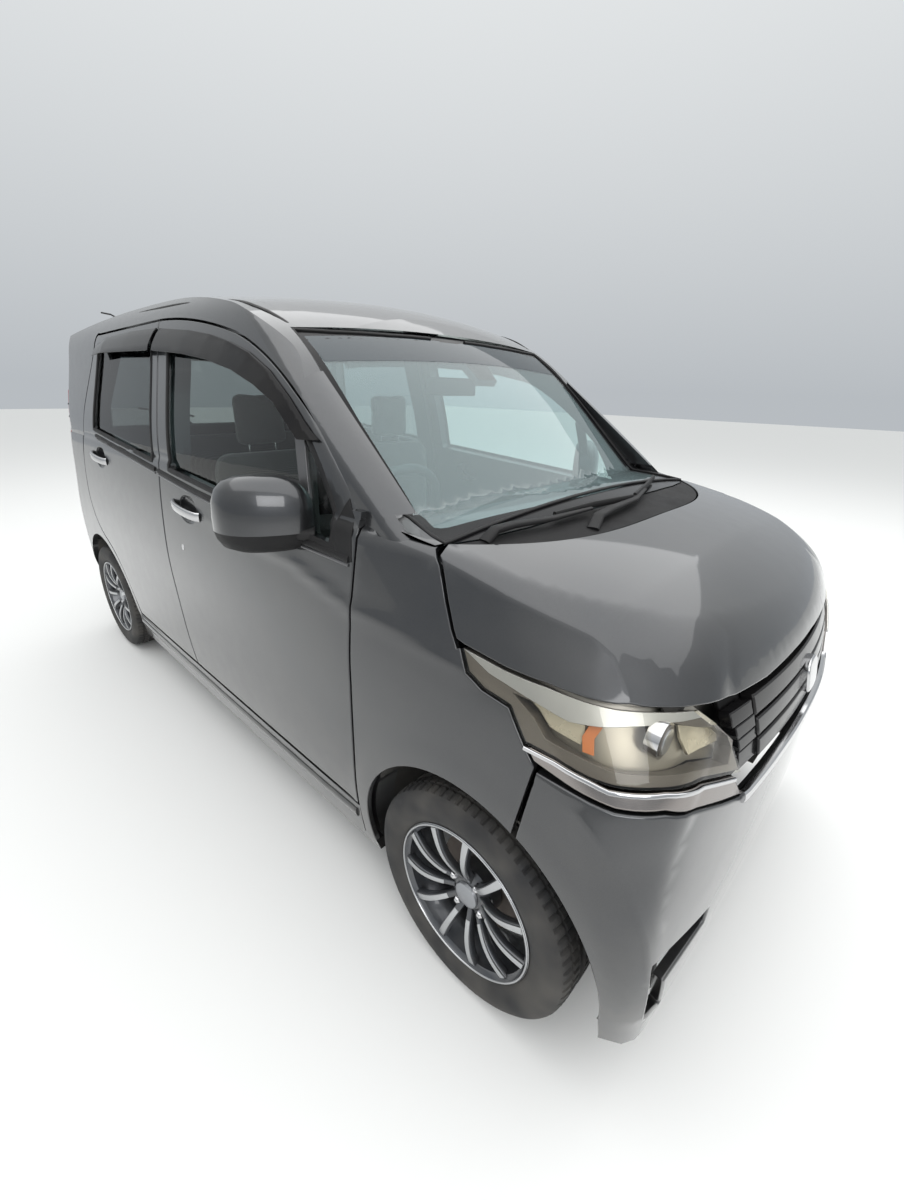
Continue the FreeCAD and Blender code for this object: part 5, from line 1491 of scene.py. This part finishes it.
def cushion_form(low, high, crown, waist=0.04, columns=36):
    """A crowned pad in a box: its sides pull in between the corners and its faces rise by crown."""
    low, high = np.array(low, float), np.array(high, float)
    middle, half = (low + high) / 2, (high - low) / 2
    rings = []
    for height in np.sin(np.linspace(-math.pi / 2, math.pi / 2, PAD_ROWS)):
        outline = ring(1.0, 1.0, columns, PAD_SQUARE)
        bow = 1 - waist * (1 - np.abs(outline) ** 2)[:, ::-1]
        edge = (1 - abs(height) ** 5) ** 0.22 if abs(height) < 1 else PAD_TIP
        outline = outline * bow * max(edge, PAD_TIP)
        lift = height * (half[2] - crown) + np.sign(height) * crown * (1 - edge)
        rings.append(np.stack([middle[0] + outline[:, 0] * half[0], middle[1] + outline[:, 1] * half[1],
                               np.full(columns, middle[2] + lift)], 1))
    return lofted(rings)


VOXEL, PRESSURE, FRAMES, SWELL_CAP = 0.008, 4.0, 20, 0.008


def padded_piece(name, shape, sides="one"):
    """A stuffed pad: the shape is blown up a little by a cloth simulation, within a cap."""
    piece = place(name, shape, FABRIC, sides=sides)[0]
    remesh = piece.modifiers.new("even", "REMESH")
    remesh.mode, remesh.voxel_size = "VOXEL", VOXEL
    apply_modifier(piece, remesh)
    start = np.array([tuple(v.co) for v in piece.data.vertices])
    cloth = piece.modifiers.new("stuffing", "CLOTH")
    cloth.settings.use_pressure = True
    cloth.settings.uniform_pressure_force = PRESSURE
    cloth.settings.effector_weights.gravity = 0
    for number in range(1, FRAMES + 1):
        scene.frame_set(number)
    apply_modifier(piece, cloth)
    moved = np.array([tuple(v.co) for v in piece.data.vertices])
    shift = moved - start
    length = np.linalg.norm(shift, axis=1)[:, None] + 1e-9
    moved = start + shift * np.minimum(1, SWELL_CAP / length)
    piece.data.vertices.foreach_set("co", moved.ravel())
    scene.frame_set(1)
    piece.data.shade_smooth()
    return piece


def apply_modifier(piece, modifier):
    """Bakes one modifier into the mesh."""
    with bpy.context.temp_override(object=piece, active_object=piece, selected_objects=[piece]):
        bpy.ops.object.modifier_apply(modifier=modifier.name)


# Seats: the x, y and z that each pad lies between, and the blocks under the front ones
SEAT_Y, SEAT_MIDDLE = (-548, -102), -325
CUSHION_X, CUSHION_Z = (-120, 342), (515, 642)
BACK_X, BACK_Z = (-250, -130), (560, 1130)
REST_X, REST_Y, REST_Z = (-252, -172), (-430, -220), (1135, 1325)
POST_X, POST_Z, POST_APART, POST_RADIUS = -212, (1090, 1160), 55, 6
PLINTHS = (((-80, -490, 230), (270, -160, 262), 6), ((-60, -500, 262), (300, -150, 508), 10))
BENCH_X, BENCH_Y, BENCH_BACK_X = (-985, -530), (-518, 518), (-1100, -985)
BENCH_SEAT, BENCH_SHAPE = 132, dict(waist=0.03, columns=56)


def pad(name, crown, x, y, z, sides="one", upright=False, **shape):
    """A stuffed pad in a box, crowned on top or, if upright, in front."""
    low, high = zip(*((z, y, x) if upright else (x, y, z)))
    points, faces = cushion_form(low, high, crown, **shape)
    return padded_piece(name, (points[:, ::-1] if upright else points, faces), sides)


def add_interior():
    cushions = pad("seat_cushions", 26, CUSHION_X, SEAT_Y, CUSHION_Z, "pair")
    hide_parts("front_seats")
    pad("seat_backs", 22, BACK_X, SEAT_Y, BACK_Z, "pair", True)
    pad("seat_headrests", 20, REST_X, REST_Y, REST_Z, "pair", True)
    posts = [tube([(POST_X, SEAT_MIDDLE + side * POST_APART, z) for z in POST_Z], POST_RADIUS)
             for side in (-1, 1)]
    place("headrest_posts", joined(*posts), CHROME, sides="pair")
    place("seat_plinths", joined(*(brick(*block) for block in PLINTHS)), BLACK_TRIM, sides="pair")
    bench_low, bench_high = (np.array(corner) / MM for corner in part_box("rear_bench"))
    seat_z = bench_low[2] + BENCH_SEAT
    bench = pad("bench_cushion", 24, BENCH_X, BENCH_Y, (seat_z + 8, seat_z + 122), **BENCH_SHAPE)
    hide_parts("rear_bench")
    pad("bench_back", 20, BENCH_BACK_X, BENCH_Y, (seat_z + 120, bench_high[2] - 10), upright=True,
        **BENCH_SHAPE)
    place("bench_base", brick((-955, -465, bench_low[2] + 2), (-585, 465, seat_z + 12), 8), BLACK_TRIM)


def dress(finish, *names):
    """Gives CAD nodes that stay in view their finish."""
    for name in names:
        nodes[name].data.materials.clear()
        nodes[name].data.materials.append(finish)


dress(PAINT, "body_sides", "roof_panel", "rear_bumper", "tailgate", "side_skirts")
dress(DASH, "dashboard", "steering_wheel")
dress(UNDERBODY, "floor_pan", "fuel_tank", "engine_block", "front_suspension")
dress(STEEL, "exhaust", "rear_axle", "knuckle_right", "knuckle_left")
dress(SIDE_GLASS, "glass_front_right", "glass_front_left")
dress(REAR_GLASS, "glass_rear_right", "glass_rear_left", "tailgate_glass")
add_doors()
add_hood()
add_fenders()
add_bumper()
add_lamps()
add_grille()
add_windscreen()
add_wipers()
add_side_trim()
add_mirrors()
add_wheels()
add_roof_trim()
add_skirts()
add_tail()
add_interior()
